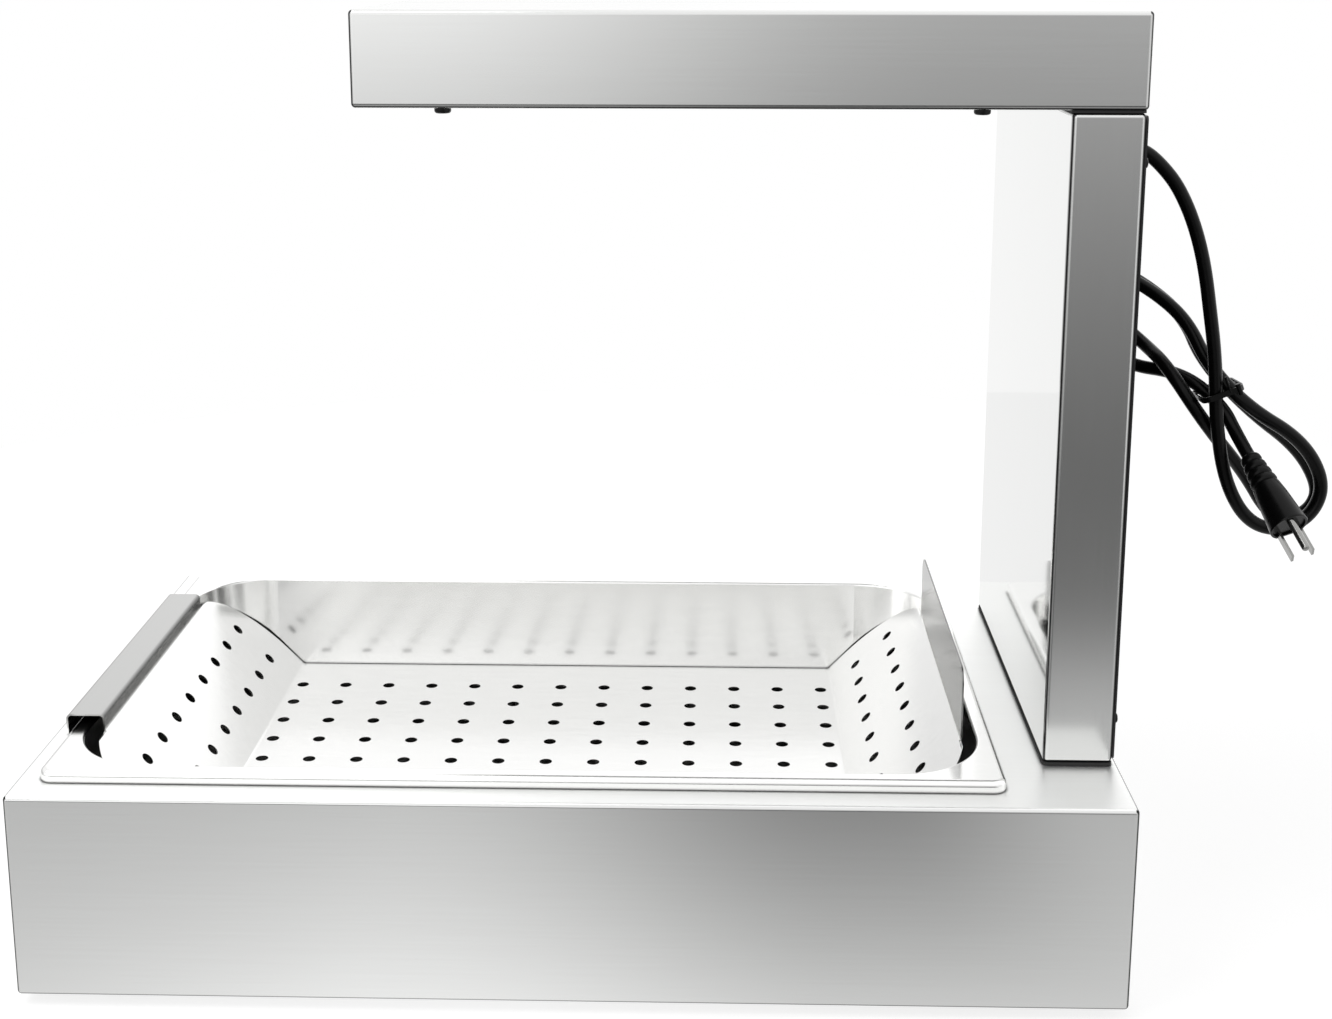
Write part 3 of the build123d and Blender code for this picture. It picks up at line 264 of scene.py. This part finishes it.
# Pan. A full-size food pan, deep-drawn from one stainless sheet, with its rim turned down onto the box.
# It is polished after drawing: a soft mirror with a trace of the wheel, boiled dull below the insert, where
# it is also painted darker as shade under the insert.
wheel = (40, 220, 220)
polished, tree, shader = stainless("polished_stainless_pan", ("#eeeeed", "#f4f4f3"), (0.13, 0.18), wheel)
tone = shader.inputs["Base Color"].links[0].from_socket
sheen = shader.inputs["Roughness"].links[0].from_socket
boil_and_shade_line, boil_and_shade_floor = 0.066, 0.060
height = add(tree, "ShaderNodeTexCoord").outputs["Object"]
height = add(tree, "ShaderNodeSeparateXYZ", {0: height}).outputs["Z"]
boiled_and_shaded = {"Value": height, "From Min": boil_and_shade_line, "From Max": boil_and_shade_floor}
boiled_and_shaded = add(tree, "ShaderNodeMapRange", boiled_and_shaded).outputs[0]
# Painted shade: below the insert the steel is painted dark grey; the rougher gloss there is the boiling.
tone = add(tree, "ShaderNodeMix", {0: boiled_and_shaded, 6: tone, 7: linear("#8c8c8a")}, data_type="RGBA").outputs[2]
sheen = add(tree, "ShaderNodeMix", {0: boiled_and_shaded, 2: sheen, 3: 0.55}).outputs[0]
tree.links.new(tone, shader.inputs["Base Color"])
tree.links.new(sheen, shader.inputs["Roughness"])
dress(polished, "steam_pan")

# Drain insert. One perforated sheet, bent into a floor with two sloped ends, a hook over the pan's rim
# and an upright flange. Its inside is polished; its ends stay brushed and its underside dull. Painted shade
# darkens the hook's inward faces, the right-hand flange and the underside.
pressed, tree, shader = stainless("perforated_stainless_insert", ("#e6e6e5", "#ededec"), (0.19, 0.23), wheel)
tone = shader.inputs["Base Color"].links[0].from_socket
sheen = shader.inputs["Roughness"].links[0].from_socket
place = add(tree, "ShaderNodeSeparateXYZ", {0: add(tree, "ShaderNodeTexCoord").outputs["Object"]})
facing = add(tree, "ShaderNodeNewGeometry").outputs["True Normal"]
facing = add(tree, "ShaderNodeSeparateXYZ", {0: facing})
polish_end, brush_start = 0.1285, 0.1305
ends = {"Value": place.outputs["Z"], "From Min": polish_end, "From Max": brush_start}
ends = add(tree, "ShaderNodeMapRange", ends).outputs[0]
right = add(tree, "ShaderNodeMath", {0: place.outputs["X"], 1: 0.0}, operation="GREATER_THAN").outputs[0]
inward = {"Value": facing.outputs["X"], "From Min": 0.3, "From Max": 0.9}
inward = add(tree, "ShaderNodeMapRange", inward).outputs[0]
# Painted shade: above the rim, inward-facing faces are painted dark, the rest of the hook paler, and the
# right flange mid-grey.
brow = {0: inward, 6: linear("#b8b8b7"), 7: linear("#5a5a59")}
brow = add(tree, "ShaderNodeMix", brow, data_type="RGBA").outputs[2]
brow = add(tree, "ShaderNodeMix", {0: right, 6: brow, 7: linear("#7c7c7b")}, data_type="RGBA").outputs[2]
tone = add(tree, "ShaderNodeMix", {0: ends, 6: tone, 7: brow}, data_type="RGBA").outputs[2]
# Painted shade: faces turned downward are painted dark grey, and their gloss is dulled.
under = add(tree, "ShaderNodeMath", {0: facing.outputs["Z"], 1: -0.2}, operation="LESS_THAN").outputs[0]
tone = add(tree, "ShaderNodeMix", {0: under, 6: tone, 7: linear("#3a3a39")}, data_type="RGBA").outputs[2]
sheen = add(tree, "ShaderNodeMix", {0: ends, 2: sheen, 3: 0.15}).outputs[0]
sheen = add(tree, "ShaderNodeMix", {0: under, 2: sheen, 3: 0.55}).outputs[0]
tree.links.new(tone, shader.inputs["Base Color"])
tree.links.new(sheen, shader.inputs["Roughness"])

# The hook's outer leg reaches down beside the rim, 3 mm longer than in the solid, so that no light shows
# under it. The sheet is shaded flat, because its bends are too small to show as steps.
leg_reach, leg_thick, level_play = 0.0031, 0.0015, 0.0001
hooked = bpy.data.objects.new("hooked_insert", nodes["drain_insert"].data.copy())
bpy.context.scene.collection.objects.link(hooked)
bpy.ops.object.select_all(action="DESELECT")
hooked.select_set(True)
bpy.context.view_layer.objects.active = hooked
bpy.ops.object.mode_set(mode="EDIT")
bpy.ops.mesh.select_all(action="SELECT")
bpy.ops.mesh.remove_doubles(threshold=0.000001)
bpy.ops.mesh.customdata_custom_splitnormals_clear()
bpy.ops.object.mode_set(mode="OBJECT")
bpy.ops.object.shade_flat()
leg_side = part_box("drain_insert")[0].x + leg_thick
outer_leg = [corner for corner in hooked.data.vertices if corner.co.x < leg_side]
leg_end = min(corner.co.z for corner in outer_leg)
for corner in outer_leg:
    if corner.co.z < leg_end + level_play:
        corner.co.z -= leg_reach
hooked.data.materials.clear()
hooked.data.materials.append(pressed)
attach(hooked, "insert")
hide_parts("drain_insert")

# Column. A folded stainless channel on a rubber gasket, bolted down from inside the box. Its grain runs
# upright, and its broad side towards the pan is polished to a mirror that shows the insert's flange.
upright_grain = (900, 900, 14)
upright, tree, shader = stainless("brushed_stainless_column", sheet_tones, (0.17, 0.20), upright_grain)
# Painted shade along the column's upright and lower bends.
paint_bend_shade(tree, shader)
facing = add(tree, "ShaderNodeNewGeometry").outputs["True Normal"]
facing = add(tree, "ShaderNodeSeparateXYZ", {0: facing}).outputs["X"]
broad = add(tree, "ShaderNodeMapRange", {"Value": facing, "From Min": -0.7, "From Max": -0.95}).outputs[0]
sheen = {0: broad, 2: shader.inputs["Roughness"].links[0].from_socket, 3: 0.05}
tree.links.new(add(tree, "ShaderNodeMix", sheen).outputs[0], shader.inputs["Roughness"])
dress(upright, "column_shell")
dress(rubber, "column_gasket")
dress(headed, "column_bolts", "column_nuts")

# Rear cover of the column. Steel sheet with a black powder coat, which cures to a fine orange peel. Its
# four blackened screws stand proud of it.
coat, tree, shader = surface("black_powder_coat", {"IOR": 1.5, "Roughness": 0.42})
place = add(tree, "ShaderNodeTexCoord").outputs["Object"]
peel = add(tree, "ShaderNodeTexNoise", {"Vector": place, "Scale": 700.0, "Detail": 2.0}).outputs["Fac"]
tone = add(tree, "ShaderNodeMix", {0: peel, 6: linear("#0e0e0f"), 7: linear("#18181a")}, data_type="RGBA")
wave = add(tree, "ShaderNodeBump", {"Height": peel, "Strength": 0.2, "Distance": 0.0003})
tree.links.new(tone.outputs[2], shader.inputs["Base Color"])
tree.links.new(wave.outputs["Normal"], shader.inputs["Normal"])
dress(coat, "column_rear_cover")

# Blackened steel: dark oxide under a film of oil, so it glints dully.
blackened, tree, shader = surface("blackened_steel_screw", {"Metallic": 1.0, "Base Color": linear("#2b2b2b")})
place = add(tree, "ShaderNodeTexCoord").outputs["Object"]
grain = add(tree, "ShaderNodeTexNoise", {"Vector": place, "Scale": 900.0, "Detail": 2.0}).outputs["Fac"]
dull = add(tree, "ShaderNodeMapRange", {"Value": grain, "To Min": 0.3, "To Max": 0.45}).outputs[0]
tree.links.new(dull, shader.inputs["Roughness"])
backwards = Matrix.Rotation(math.pi / 2, 3, "Y")
inset, rise = small_screw[0] / 2, small_screw[1]
low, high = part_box("rear_cover_screws")
across = (low.y + inset, high.y - inset)
spots = [(high.x - rise, y, z) for y in across for z in (low.z + inset, high.z - inset)]
set_screws("rear_cover_screws", blackened, small_screw, backwards, spots)

# Hood. A folded stainless box, open below for the heater, bolted to the column through a second gasket.
# Four screws come up through its lower flange and hold the reflector.
dress(brushed, "hood_shell")
dress(rubber, "hood_gasket")
dress(headed, "hood_bolts", "hood_bolt_nuts", "hood_screw_nuts")
hood_screw = (0.009, 0.003, 0.004)
inset, rise = hood_screw[0] / 2, hood_screw[1]
low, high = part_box("hood_screws")
across = (low.y + inset, high.y - inset)
spots = [(x, y, low.z + rise) for x in (low.x + inset, high.x - inset) for y in across]
set_screws("hood_screws", blackened, hood_screw, downwards, spots)

# Heater. A bright aluminium trough under a fibre blanket, with two metal-sheathed rods in ceramic
# bushings and a chromed wire guard that lies on the hood's flange.
# Rolled bright aluminium: a clear mirror, drawn out along the roll.
trough, tree, shader = surface("rolled_bright_aluminium", {"Metallic": 1.0, "Base Color": linear("#dfe0e0")})
place = add(tree, "ShaderNodeTexCoord").outputs["Object"]
run = add(tree, "ShaderNodeMapping", {"Vector": place, "Scale": (12, 700, 700)}).outputs[0]
rolled = add(tree, "ShaderNodeTexNoise", {"Vector": run, "Scale": 1.0, "Detail": 3.0}).outputs["Fac"]
sheen = add(tree, "ShaderNodeMapRange", {"Value": rolled, "To Min": 0.15, "To Max": 0.24}).outputs[0]
tree.links.new(sheen, shader.inputs["Roughness"])
dress(trough, "reflector")

# Spun ceramic fibre: matt and off-white, with a felted surface.
blanket, tree, shader = surface("spun_ceramic_fibre", {"Roughness": 0.95})
place = add(tree, "ShaderNodeTexCoord").outputs["Object"]
felt = add(tree, "ShaderNodeTexNoise", {"Vector": place, "Scale": 260.0, "Detail": 6.0}).outputs["Fac"]
tone = add(tree, "ShaderNodeMix", {0: felt, 6: linear("#d6d2c6"), 7: linear("#efece4")}, data_type="RGBA")
fuzz = add(tree, "ShaderNodeBump", {"Height": felt, "Strength": 0.6, "Distance": 0.001})
tree.links.new(tone.outputs[2], shader.inputs["Base Color"])
tree.links.new(fuzz.outputs["Normal"], shader.inputs["Normal"])
dress(blanket, "insulation_blanket")

# Drawn nickel-alloy sheath: heat has tinted it brown-grey in bands along the rod.
sheath, tree, shader = surface("heat_tinted_alloy_sheath", {"Metallic": 1.0, "Roughness": 0.42})
place = add(tree, "ShaderNodeTexCoord").outputs["Object"]
run = add(tree, "ShaderNodeMapping", {"Vector": place, "Scale": (30, 4, 4)}).outputs[0]
tint = add(tree, "ShaderNodeTexNoise", {"Vector": run, "Scale": 1.0, "Detail": 2.0}).outputs["Fac"]
tone = add(tree, "ShaderNodeMix", {0: tint, 6: linear("#4a4440"), 7: linear("#6a5f56")}, data_type="RGBA")
tree.links.new(tone.outputs[2], shader.inputs["Base Color"])
dress(sheath, "heating_elements")

# Glazed steatite: pale cream and shiny, with the odd iron speck under the glaze.
glazed, tree, shader = surface("glazed_steatite", {"Roughness": 0.2, "IOR": 1.55})
place = add(tree, "ShaderNodeTexCoord").outputs["Object"]
speck = add(tree, "ShaderNodeTexNoise", {"Vector": place, "Scale": 800.0, "Detail": 2.0}).outputs["Fac"]
tone = add(tree, "ShaderNodeMix", {0: speck, 6: linear("#d9d2bf"), 7: linear("#ebe6d8")}, data_type="RGBA")
tree.links.new(tone.outputs[2], shader.inputs["Base Color"])
dress(glazed, "element_bushings")

# Chromed wire: a bright mirror on round wires, a little cloudy near the welds.
chromed, tree, shader = surface("chromed_steel_wire", {"Metallic": 1.0, "Base Color": linear("#d6d9da")})
place = add(tree, "ShaderNodeTexCoord").outputs["Object"]
cloud = add(tree, "ShaderNodeTexNoise", {"Vector": place, "Scale": 60.0, "Detail": 2.0}).outputs["Fac"]
sheen = add(tree, "ShaderNodeMapRange", {"Value": cloud, "To Min": 0.07, "To Max": 0.14}).outputs[0]
tree.links.new(sheen, shader.inputs["Roughness"])
dress(chromed, "heater_guard")

# Switch and wiring. A snap-in rocker switch in the column's far side, a terminal block behind it, and
# glass-braided leads up to the rods.
# Moulded nylon: black, with the fine sparkle of a spark-eroded mould.
moulded, tree, shader = surface("moulded_black_nylon", {"Base Color": linear("#141414"), "IOR": 1.53})
place = add(tree, "ShaderNodeTexCoord").outputs["Object"]
spark = add(tree, "ShaderNodeTexNoise", {"Vector": place, "Scale": 1100.0, "Detail": 2.0}).outputs["Fac"]
sheen = add(tree, "ShaderNodeMapRange", {"Value": spark, "To Min": 0.32, "To Max": 0.45}).outputs[0]
tree.links.new(sheen, shader.inputs["Roughness"])
dress(moulded, "switch_body", "switch_rocker")

# Pressed thermoset: cream, with the dull mottled skin that the mould leaves.
pressing, tree, shader = surface("pressed_cream_thermoset", {"Roughness": 0.5})
place = add(tree, "ShaderNodeTexCoord").outputs["Object"]
mottle = add(tree, "ShaderNodeTexNoise", {"Vector": place, "Scale": 400.0, "Detail": 3.0}).outputs["Fac"]
tone = add(tree, "ShaderNodeMix", {0: mottle, 6: linear("#cfc9b8"), 7: linear("#e0dbcd")}, data_type="RGBA")
tree.links.new(tone.outputs[2], shader.inputs["Base Color"])
dress(pressing, "terminal_block")
dress(headed, "terminal_screws", "block_studs", "block_nuts")

# Stamped brass: warm yellow, bright with patches of dull skin.
stamped, tree, shader = surface("stamped_brass", {"Metallic": 1.0, "Base Color": linear("#c8a860")})
place = add(tree, "ShaderNodeTexCoord").outputs["Object"]
patch = add(tree, "ShaderNodeTexNoise", {"Vector": place, "Scale": 300.0, "Detail": 2.0}).outputs["Fac"]
sheen = add(tree, "ShaderNodeMapRange", {"Value": patch, "To Min": 0.22, "To Max": 0.4}).outputs[0]
tree.links.new(sheen, shader.inputs["Roughness"])
dress(stamped, "switch_terminals")

# Varnished glass braid: cream, with the weave as a fine pattern of cells.
braid, tree, shader = surface("varnished_glass_braid", {"Roughness": 0.6})
place = add(tree, "ShaderNodeTexCoord").outputs["Object"]
weave = add(tree, "ShaderNodeTexVoronoi", {"Vector": place, "Scale": 1600.0}).outputs["Distance"]
tone = add(tree, "ShaderNodeMix", {0: weave, 6: linear("#cfc7b2"), 7: linear("#e6dfcd")}, data_type="RGBA")
tree.links.new(tone.outputs[2], shader.inputs["Base Color"])
dress(braid, "element_leads", "element_link", "switch_leads")

# Cord. A black PVC mains lead, 8.4 mm thick, drops from the gland behind the column and is folded
# twice into a hank. The hank's lower lobes hang beside the column and its upper lobes lie behind it.
gland_height, cord_thick = 0.461, 0.0084
gland_tip = Vector((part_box("cord_gland")[1].x, 0.0, gland_height))
lead_bends = (
    (0.0065, 0.0),
    (0.0128, -0.0022),
    (0.0205, -0.0086),
    (0.0295, -0.0186),
    (0.0362, -0.0296),
    (0.0426, -0.0435),
    (0.0480, -0.0595),
    (0.0522, -0.0765),
    (0.0563, -0.0999),
)
route = [gland_tip] + [gland_tip + Vector((x, 0, z)) for x, z in lead_bends]
waist = gland_tip + Vector((0.065, 0.010, -0.151))
waist_along = Vector((0.66, -0.30, -0.69)).normalized()
waist_right = waist_along.cross(Vector((0.207, 0.946, -0.251))).normalized()
waist_back = waist_right.cross(waist_along)
waist_half, tail_left, tail_back = 0.0078, 0.0032, 0.008
lower_along = Vector((0.52, 0.0, -0.854)).normalized()
lower_right = Vector((-lower_along.z, 0.0, lower_along.x))
upper_along = Vector((-0.608, 0.608, 0.51)).normalized()
upper_back = Vector((1.0, 1.0, 0.0)).normalized()
upper_right = upper_back.cross(upper_along).normalized()
plug_start = gland_tip + Vector((0.0838, -0.0060, -0.188))
plug_along = Vector((0.27, -0.75, -0.60)).normalized()
hank_along = (route[-1] - route[-2]).normalized()
stops = [(route[-1] + hank_along * cord_thick, hank_along)]
for left, left_along, reach, shift, radius, back, right_back, lobe in (
    (
        gland_tip + Vector((0.0628, 0.0, -0.150)),
        Vector((0.07, 0.0, -1.0)).normalized(),
        0.070, 0.0035, 0.0265, -0.010, -0.0038,
        ((0.055, 0.0265, -0.0035), (0.0975, 0.007, -0.0065), (0.076, -0.010, 0.0055)),
    ),
    (
        gland_tip + Vector((0.046, 0.012, -0.151)),
        Vector((0.53, -0.23, -0.80)).normalized(),
        0.0835, 0.0105, 0.018, 0.011, 0.0098,
        ((0.0725, 0.0125, 0.026), (0.114, -0.002, 0.0045), (0.081, -0.0275, -0.001)),
    ),
):
    middle = waist + lower_along * reach + lower_right * shift + Vector((0, back, 0))
    stops.append((left, left_along))
    stops.append((middle - lower_right * radius, lower_along))
    stops.append((middle + lower_along * radius, lower_right))
    stops.append((middle + lower_right * radius, -lower_along))
    stops.append((waist + waist_right * waist_half + waist_back * right_back, -waist_along))
    for (along, right, behind), way in zip(lobe, (upper_along, -upper_right, -upper_along)):
        stops.append((waist + upper_along * along + upper_right * right + upper_back * behind, way))
tail_along = Vector((0.71, -0.33, -0.58)).normalized()
stops.append((waist - waist_right * tail_left + waist_back * tail_back, tail_along))
stops.append((plug_start - plug_along * cord_thick, plug_along))
for (start, start_along), (end, end_along) in zip(stops, stops[1:]):
    chord = end - start
    square = 2 * (1 - start_along.dot(end_along))
    across = chord.dot(start_along + end_along)
    reach = (math.sqrt(across**2 + square * chord.dot(chord)) - across) / square
    route += [start + start_along * reach, end - end_along * reach]
route.append(plug_start)
cord_line = bpy.data.curves.new("power_cord", "CURVE")
cord_line.dimensions = "3D"
run = cord_line.splines.new("NURBS")
run.points.add(len(route) - 1)
for point, spot in zip(run.points, route):
    point.co = (*spot, 1.0)
run.order_u = 3
run.use_endpoint_u = True
run.resolution_u = 12
cord_line.bevel_depth = cord_thick / 2
cord_line.bevel_resolution = 6
cord_line.use_fill_caps = True
power_cord = bpy.data.objects.new("power_cord", cord_line)
bpy.context.scene.collection.objects.link(power_cord)

# Extruded PVC: nearly black with a soft gloss, and faintly uneven from the wires inside.
cord_pvc, tree, shader = surface("extruded_black_pvc", {"IOR": 1.53, "Specular IOR Level": 0.15})
place = add(tree, "ShaderNodeTexCoord").outputs["Object"]
grain = add(tree, "ShaderNodeTexNoise", {"Vector": place, "Scale": 260.0, "Detail": 3.0}).outputs["Fac"]
tone = add(tree, "ShaderNodeMix", {0: grain, 6: linear("#050505"), 7: linear("#0a0a0a")}, data_type="RGBA")
gloss = add(tree, "ShaderNodeMapRange", {"Value": grain, "To Min": 0.24, "To Max": 0.34}).outputs[0]
dent = add(tree, "ShaderNodeBump", {"Height": grain, "Strength": 0.12, "Distance": 0.0006})
tree.links.new(tone.outputs[2], shader.inputs["Base Color"])
tree.links.new(gloss, shader.inputs["Roughness"])
tree.links.new(dent.outputs["Normal"], shader.inputs["Normal"])
power_cord.data.materials.append(cord_pvc)
dress(cord_pvc, "cord_tie", "supply_tail")
dress(moulded, "cord_gland", "gland_nut")
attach(power_cord, "warmer")
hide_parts("cord_lead", "cord_hank")

# Plug. Soft PVC moulded over the cord's end: four rounded ribs that let it flex, then a body that flares
# to a recessed face, with one flat side.
relief_length, relief_root, relief_tip, rib_depth, ribs = 0.022, 0.0060, 0.0086, 0.0011, 4
body_end, plug_flat, plug_lip, plug_recess, plug_turn = 0.0535, 0.0090, 0.0013, 0.0012, -9.0
stations = []
for rib in range(ribs):
    for part, sink in ((0.0, 1.0), (0.14, 0.35), (0.32, 0.0), (0.68, 0.0), (0.86, 0.35)):
        far = (rib + part) / ribs
        swell = relief_root + (relief_tip - relief_root) * far
        stations.append((far * relief_length, swell - sink * rib_depth))
stations += [(0.0220, 0.0074), (0.0225, 0.0081), (0.0235, 0.0085), (0.0320, 0.0097), (0.0430, 0.01065)]
stations += [(0.0520, 0.0116), (0.0529, 0.01175), (body_end, 0.0115)]
bpy.ops.object.select_all(action="DESELECT")
bpy.ops.mesh.primitive_circle_add(vertices=48, radius=stations[0][1], fill_type="NGON")
plug = bpy.context.object
plug.name = "ribbed_plug"
bpy.ops.object.mode_set(mode="EDIT")
for (start, narrow), (end, broad) in zip(stations, stations[1:]):
    bpy.ops.mesh.extrude_region_move(TRANSFORM_OT_translate={"value": (0, 0, end - start)})
    bpy.ops.transform.resize(value=(broad / narrow, broad / narrow, 1.0), center_override=(0, 0, end))
bpy.ops.mesh.select_all(action="SELECT")
bpy.ops.mesh.normals_make_consistent(inside=False)
bpy.ops.mesh.bisect(plane_co=(0, -plug_flat, 0), plane_no=(0, -1, 0), use_fill=True, clear_outer=True)
pick(plug, lambda face: face.normal.z > 0.9 and face.center.z > body_end - 0.0001)
bpy.ops.mesh.inset(thickness=plug_lip)
bpy.ops.mesh.extrude_region_move(TRANSFORM_OT_translate={"value": (0, 0, -plug_recess)})
bpy.ops.object.mode_set(mode="OBJECT")
plug_side = plug_along.cross(Vector((0.0, 1.0, 0.0))).normalized()
plug_side = Matrix.Rotation(math.radians(plug_turn), 3, plug_along) @ plug_side
stand = Matrix((plug_side, plug_along.cross(plug_side), plug_along)).transposed().to_4x4()
plug.data.transform(Matrix.Translation(plug_start) @ stand)
bpy.ops.object.shade_smooth_by_angle(angle=0.7)
plug.data.materials.append(cord_pvc)
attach(plug, "warmer")
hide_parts("plug_body")

# Plug pins. Two flat blades and a round earth pin of nickel-plated brass, set into the plug's face when it
# is moulded. They are a little scuffed from use, so their shine varies.
plated, tree, shader = surface("nickel_plated_pin", {"Metallic": 1.0, "Base Color": linear("#949492")})
place = add(tree, "ShaderNodeTexCoord").outputs["Object"]
scuff = add(tree, "ShaderNodeTexNoise", {"Vector": place, "Scale": 700.0, "Detail": 3.0}).outputs["Fac"]
sheen = add(tree, "ShaderNodeMapRange", {"Value": scuff, "To Min": 0.12, "To Max": 0.24}).outputs[0]
tree.links.new(sheen, shader.inputs["Roughness"])
dress(plated, "plug_blades", "plug_earth_pin")

# Floor. A white paper sheet. To the eye it is as white as the backdrop, and it keeps the warmer's
# shadow. In the steel it shows painted light: bright near the warmer, brighter on the left, and dim further
# forward.
bpy.ops.object.select_all(action="DESELECT")
middle = (0.05, 0.10, -0.0005)
bpy.ops.mesh.primitive_circle_add(vertices=96, radius=1.2, fill_type="NGON", location=middle)
floor = bpy.context.object
floor.name = "floor"
white, tree, shader = surface("white_paper", {"Base Color": linear("#9a9a9a"), "Roughness": 0.9})
shader.inputs["Emission Color"].default_value = (1.0, 1.0, 1.0, 1.0)
paper_glow = 0.78
rays = add(tree, "ShaderNodeLightPath")
glow = {0: rays.outputs["Is Camera Ray"], 1: paper_glow}
glow = add(tree, "ShaderNodeMath", glow, operation="MULTIPLY").outputs[0]
tree.links.new(glow, shader.inputs["Emission Strength"])
spot = add(tree, "ShaderNodeSeparateXYZ", {0: add(tree, "ShaderNodeNewGeometry").outputs["Position"]})


def shade(tree, place, start, end, low, high):
    """Light level that runs smoothly from low to high along one axis of the studio"""
    span = {"Value": place, "From Min": start, "From Max": end, "To Min": low, "To Max": high}
    return add(tree, "ShaderNodeMapRange", span, interpolation_type="SMOOTHSTEP").outputs[0]


# Painted light for mirrored rays: the floor's glow is set by position, brightest near the warmer.
ahead = {"Value": spot.outputs["Y"], "From Min": -0.20, "From Max": -0.95, "To Min": 0.0, "To Max": -3.4}
ahead = add(tree, "ShaderNodeMapRange", ahead).outputs[0]
fade = add(tree, "ShaderNodeMath", {0: ahead}, operation="EXPONENT").outputs[0]
near = {0: shade(tree, spot.outputs["X"], -0.42, 0.05, 0.24, 0.68)}
near[1] = shade(tree, spot.outputs["X"], 0.20, 0.36, 1.0, 0.40)
near = add(tree, "ShaderNodeMath", near, operation="MULTIPLY").outputs[0]
wide = {0: shade(tree, spot.outputs["X"], 0.17, -0.15, 0.12, 0.60)}
wide[1] = shade(tree, spot.outputs["X"], 0.20, 0.36, 0.0, 0.42)
wide = add(tree, "ShaderNodeMath", wide, operation="ADD").outputs[0]
wide = {0: wide, 1: shade(tree, spot.outputs["Y"], -0.48, -0.75, 1.0, 0.3)}
wide = add(tree, "ShaderNodeMath", wide, operation="MULTIPLY").outputs[0]
bright = add(tree, "ShaderNodeMath", {0: fade, 1: near, 2: wide}, operation="MULTIPLY_ADD").outputs[0]
behind = shade(tree, spot.outputs["Y"], -0.15, 0.2, 0.0, 1.0)
bright = add(tree, "ShaderNodeMix", {0: behind, 2: bright, 3: 1.04}).outputs[0]
mirrored = add(tree, "ShaderNodeEmission", {"Strength": bright}).outputs[0]
paper = {0: rays.outputs["Is Glossy Ray"], 1: shader.outputs[0], 2: mirrored}
paper = add(tree, "ShaderNodeMixShader", paper)
tree.links.new(paper.outputs[0], tree.nodes["Material Output"].inputs["Surface"])
floor.data.materials.append(white)

# Studio. White backdrop behind and above, a bright wall on the front left, and the dim room in front,
# which the steel mirrors.
world = bpy.data.worlds.new("studio")
bpy.context.scene.world = world
world.use_nodes = True
tree = world.node_tree
background = tree.nodes["Background"]
way = add(tree, "ShaderNodeSeparateXYZ", {0: add(tree, "ShaderNodeTexCoord").outputs["Generated"]})
rays = add(tree, "ShaderNodeLightPath")
rise = {"Value": way.outputs["Z"], "From Min": -0.5, "From Max": 0.0, "To Min": -2.6, "To Max": 0.0}
rise = add(tree, "ShaderNodeMapRange", rise).outputs[0]
rise = add(tree, "ShaderNodeMath", {0: rise}, operation="EXPONENT").outputs[0]
room = {0: shade(tree, way.outputs["X"], -0.18, 0.12, 1.46, 0.62), 1: rise}
room = add(tree, "ShaderNodeMath", room, operation="MULTIPLY").outputs[0]
room = {0: shade(tree, way.outputs["X"], 0.34, 0.62, 0.0, 1.0), 2: room, 3: 0.9}
room = add(tree, "ShaderNodeMix", room).outputs[0]
room = {0: shade(tree, way.outputs["Z"], 0.05, 0.45, 0.0, 1.0), 2: room, 3: 1.15}
room = add(tree, "ShaderNodeMix", room).outputs[0]
room = {0: shade(tree, way.outputs["Y"], -0.50, 0.05, 0.0, 1.0), 2: room}
backdrop = shade(tree, way.outputs["Z"], 0.0, 0.3, 1.1, 1.22)
left_level = shade(tree, way.outputs["Z"], 0.15, 0.35, 0.6, 0.86)
left_level = shade(tree, way.outputs["X"], -0.55, -0.25, left_level, 1.0)
right_level = shade(tree, way.outputs["X"], -0.05, 0.20, 1.0, 1.07)
for side in (left_level, right_level):
    backdrop = add(tree, "ShaderNodeMath", {0: backdrop, 1: side}, operation="MULTIPLY").outputs[0]
room[3] = backdrop
room = add(tree, "ShaderNodeMix", room).outputs[0]
fill_light = 0.6
level = add(tree, "ShaderNodeMix", {0: rays.outputs["Is Glossy Ray"], 2: fill_light, 3: room}).outputs[0]
level = {0: level, 1: rays.outputs["Is Camera Ray"]}
level = add(tree, "ShaderNodeMath", level, operation="MAXIMUM").outputs[0]
tree.links.new(level, background.inputs["Strength"])
background.inputs["Color"].default_value = (1.0, 1.0, 1.0, 1.0)

bpy.ops.object.light_add(type="AREA", location=(-0.9, -0.5, 1.7))
softbox = bpy.context.object
softbox.name = "softbox"
softbox.data.shape = "RECTANGLE"
softbox.data.size = 1.4
softbox.data.size_y = 1.0
softbox.data.energy = 14.0
lit_point = Vector((0.0, 0.0, 0.2))
softbox.rotation_euler = (lit_point - softbox.location).to_track_quat("-Z", "Y").to_euler()

# Camera. The photograph looks a little down at the warmer's long side, from just right of its middle,
# and its lower half holds the base, so the view is shifted down in the frame.
bpy.ops.object.camera_add(location=(0.0756, -1.104, 0.576))
camera = bpy.context.object
camera.name = "photo_camera"
swing, tilt, roll = 0.02415, 0.20834, 0.0010
turn = Matrix.Rotation(swing, 3, "Z") @ Matrix.Rotation(math.pi / 2 - tilt, 3, "X")
camera.rotation_euler = (turn @ Matrix.Rotation(roll, 3, "Z")).to_euler()
camera.data.sensor_width = 36.0
camera.data.lens = 49.76
camera.data.shift_y = -0.127
bpy.context.scene.camera = camera

bpy.context.scene.view_settings.view_transform = "Standard"
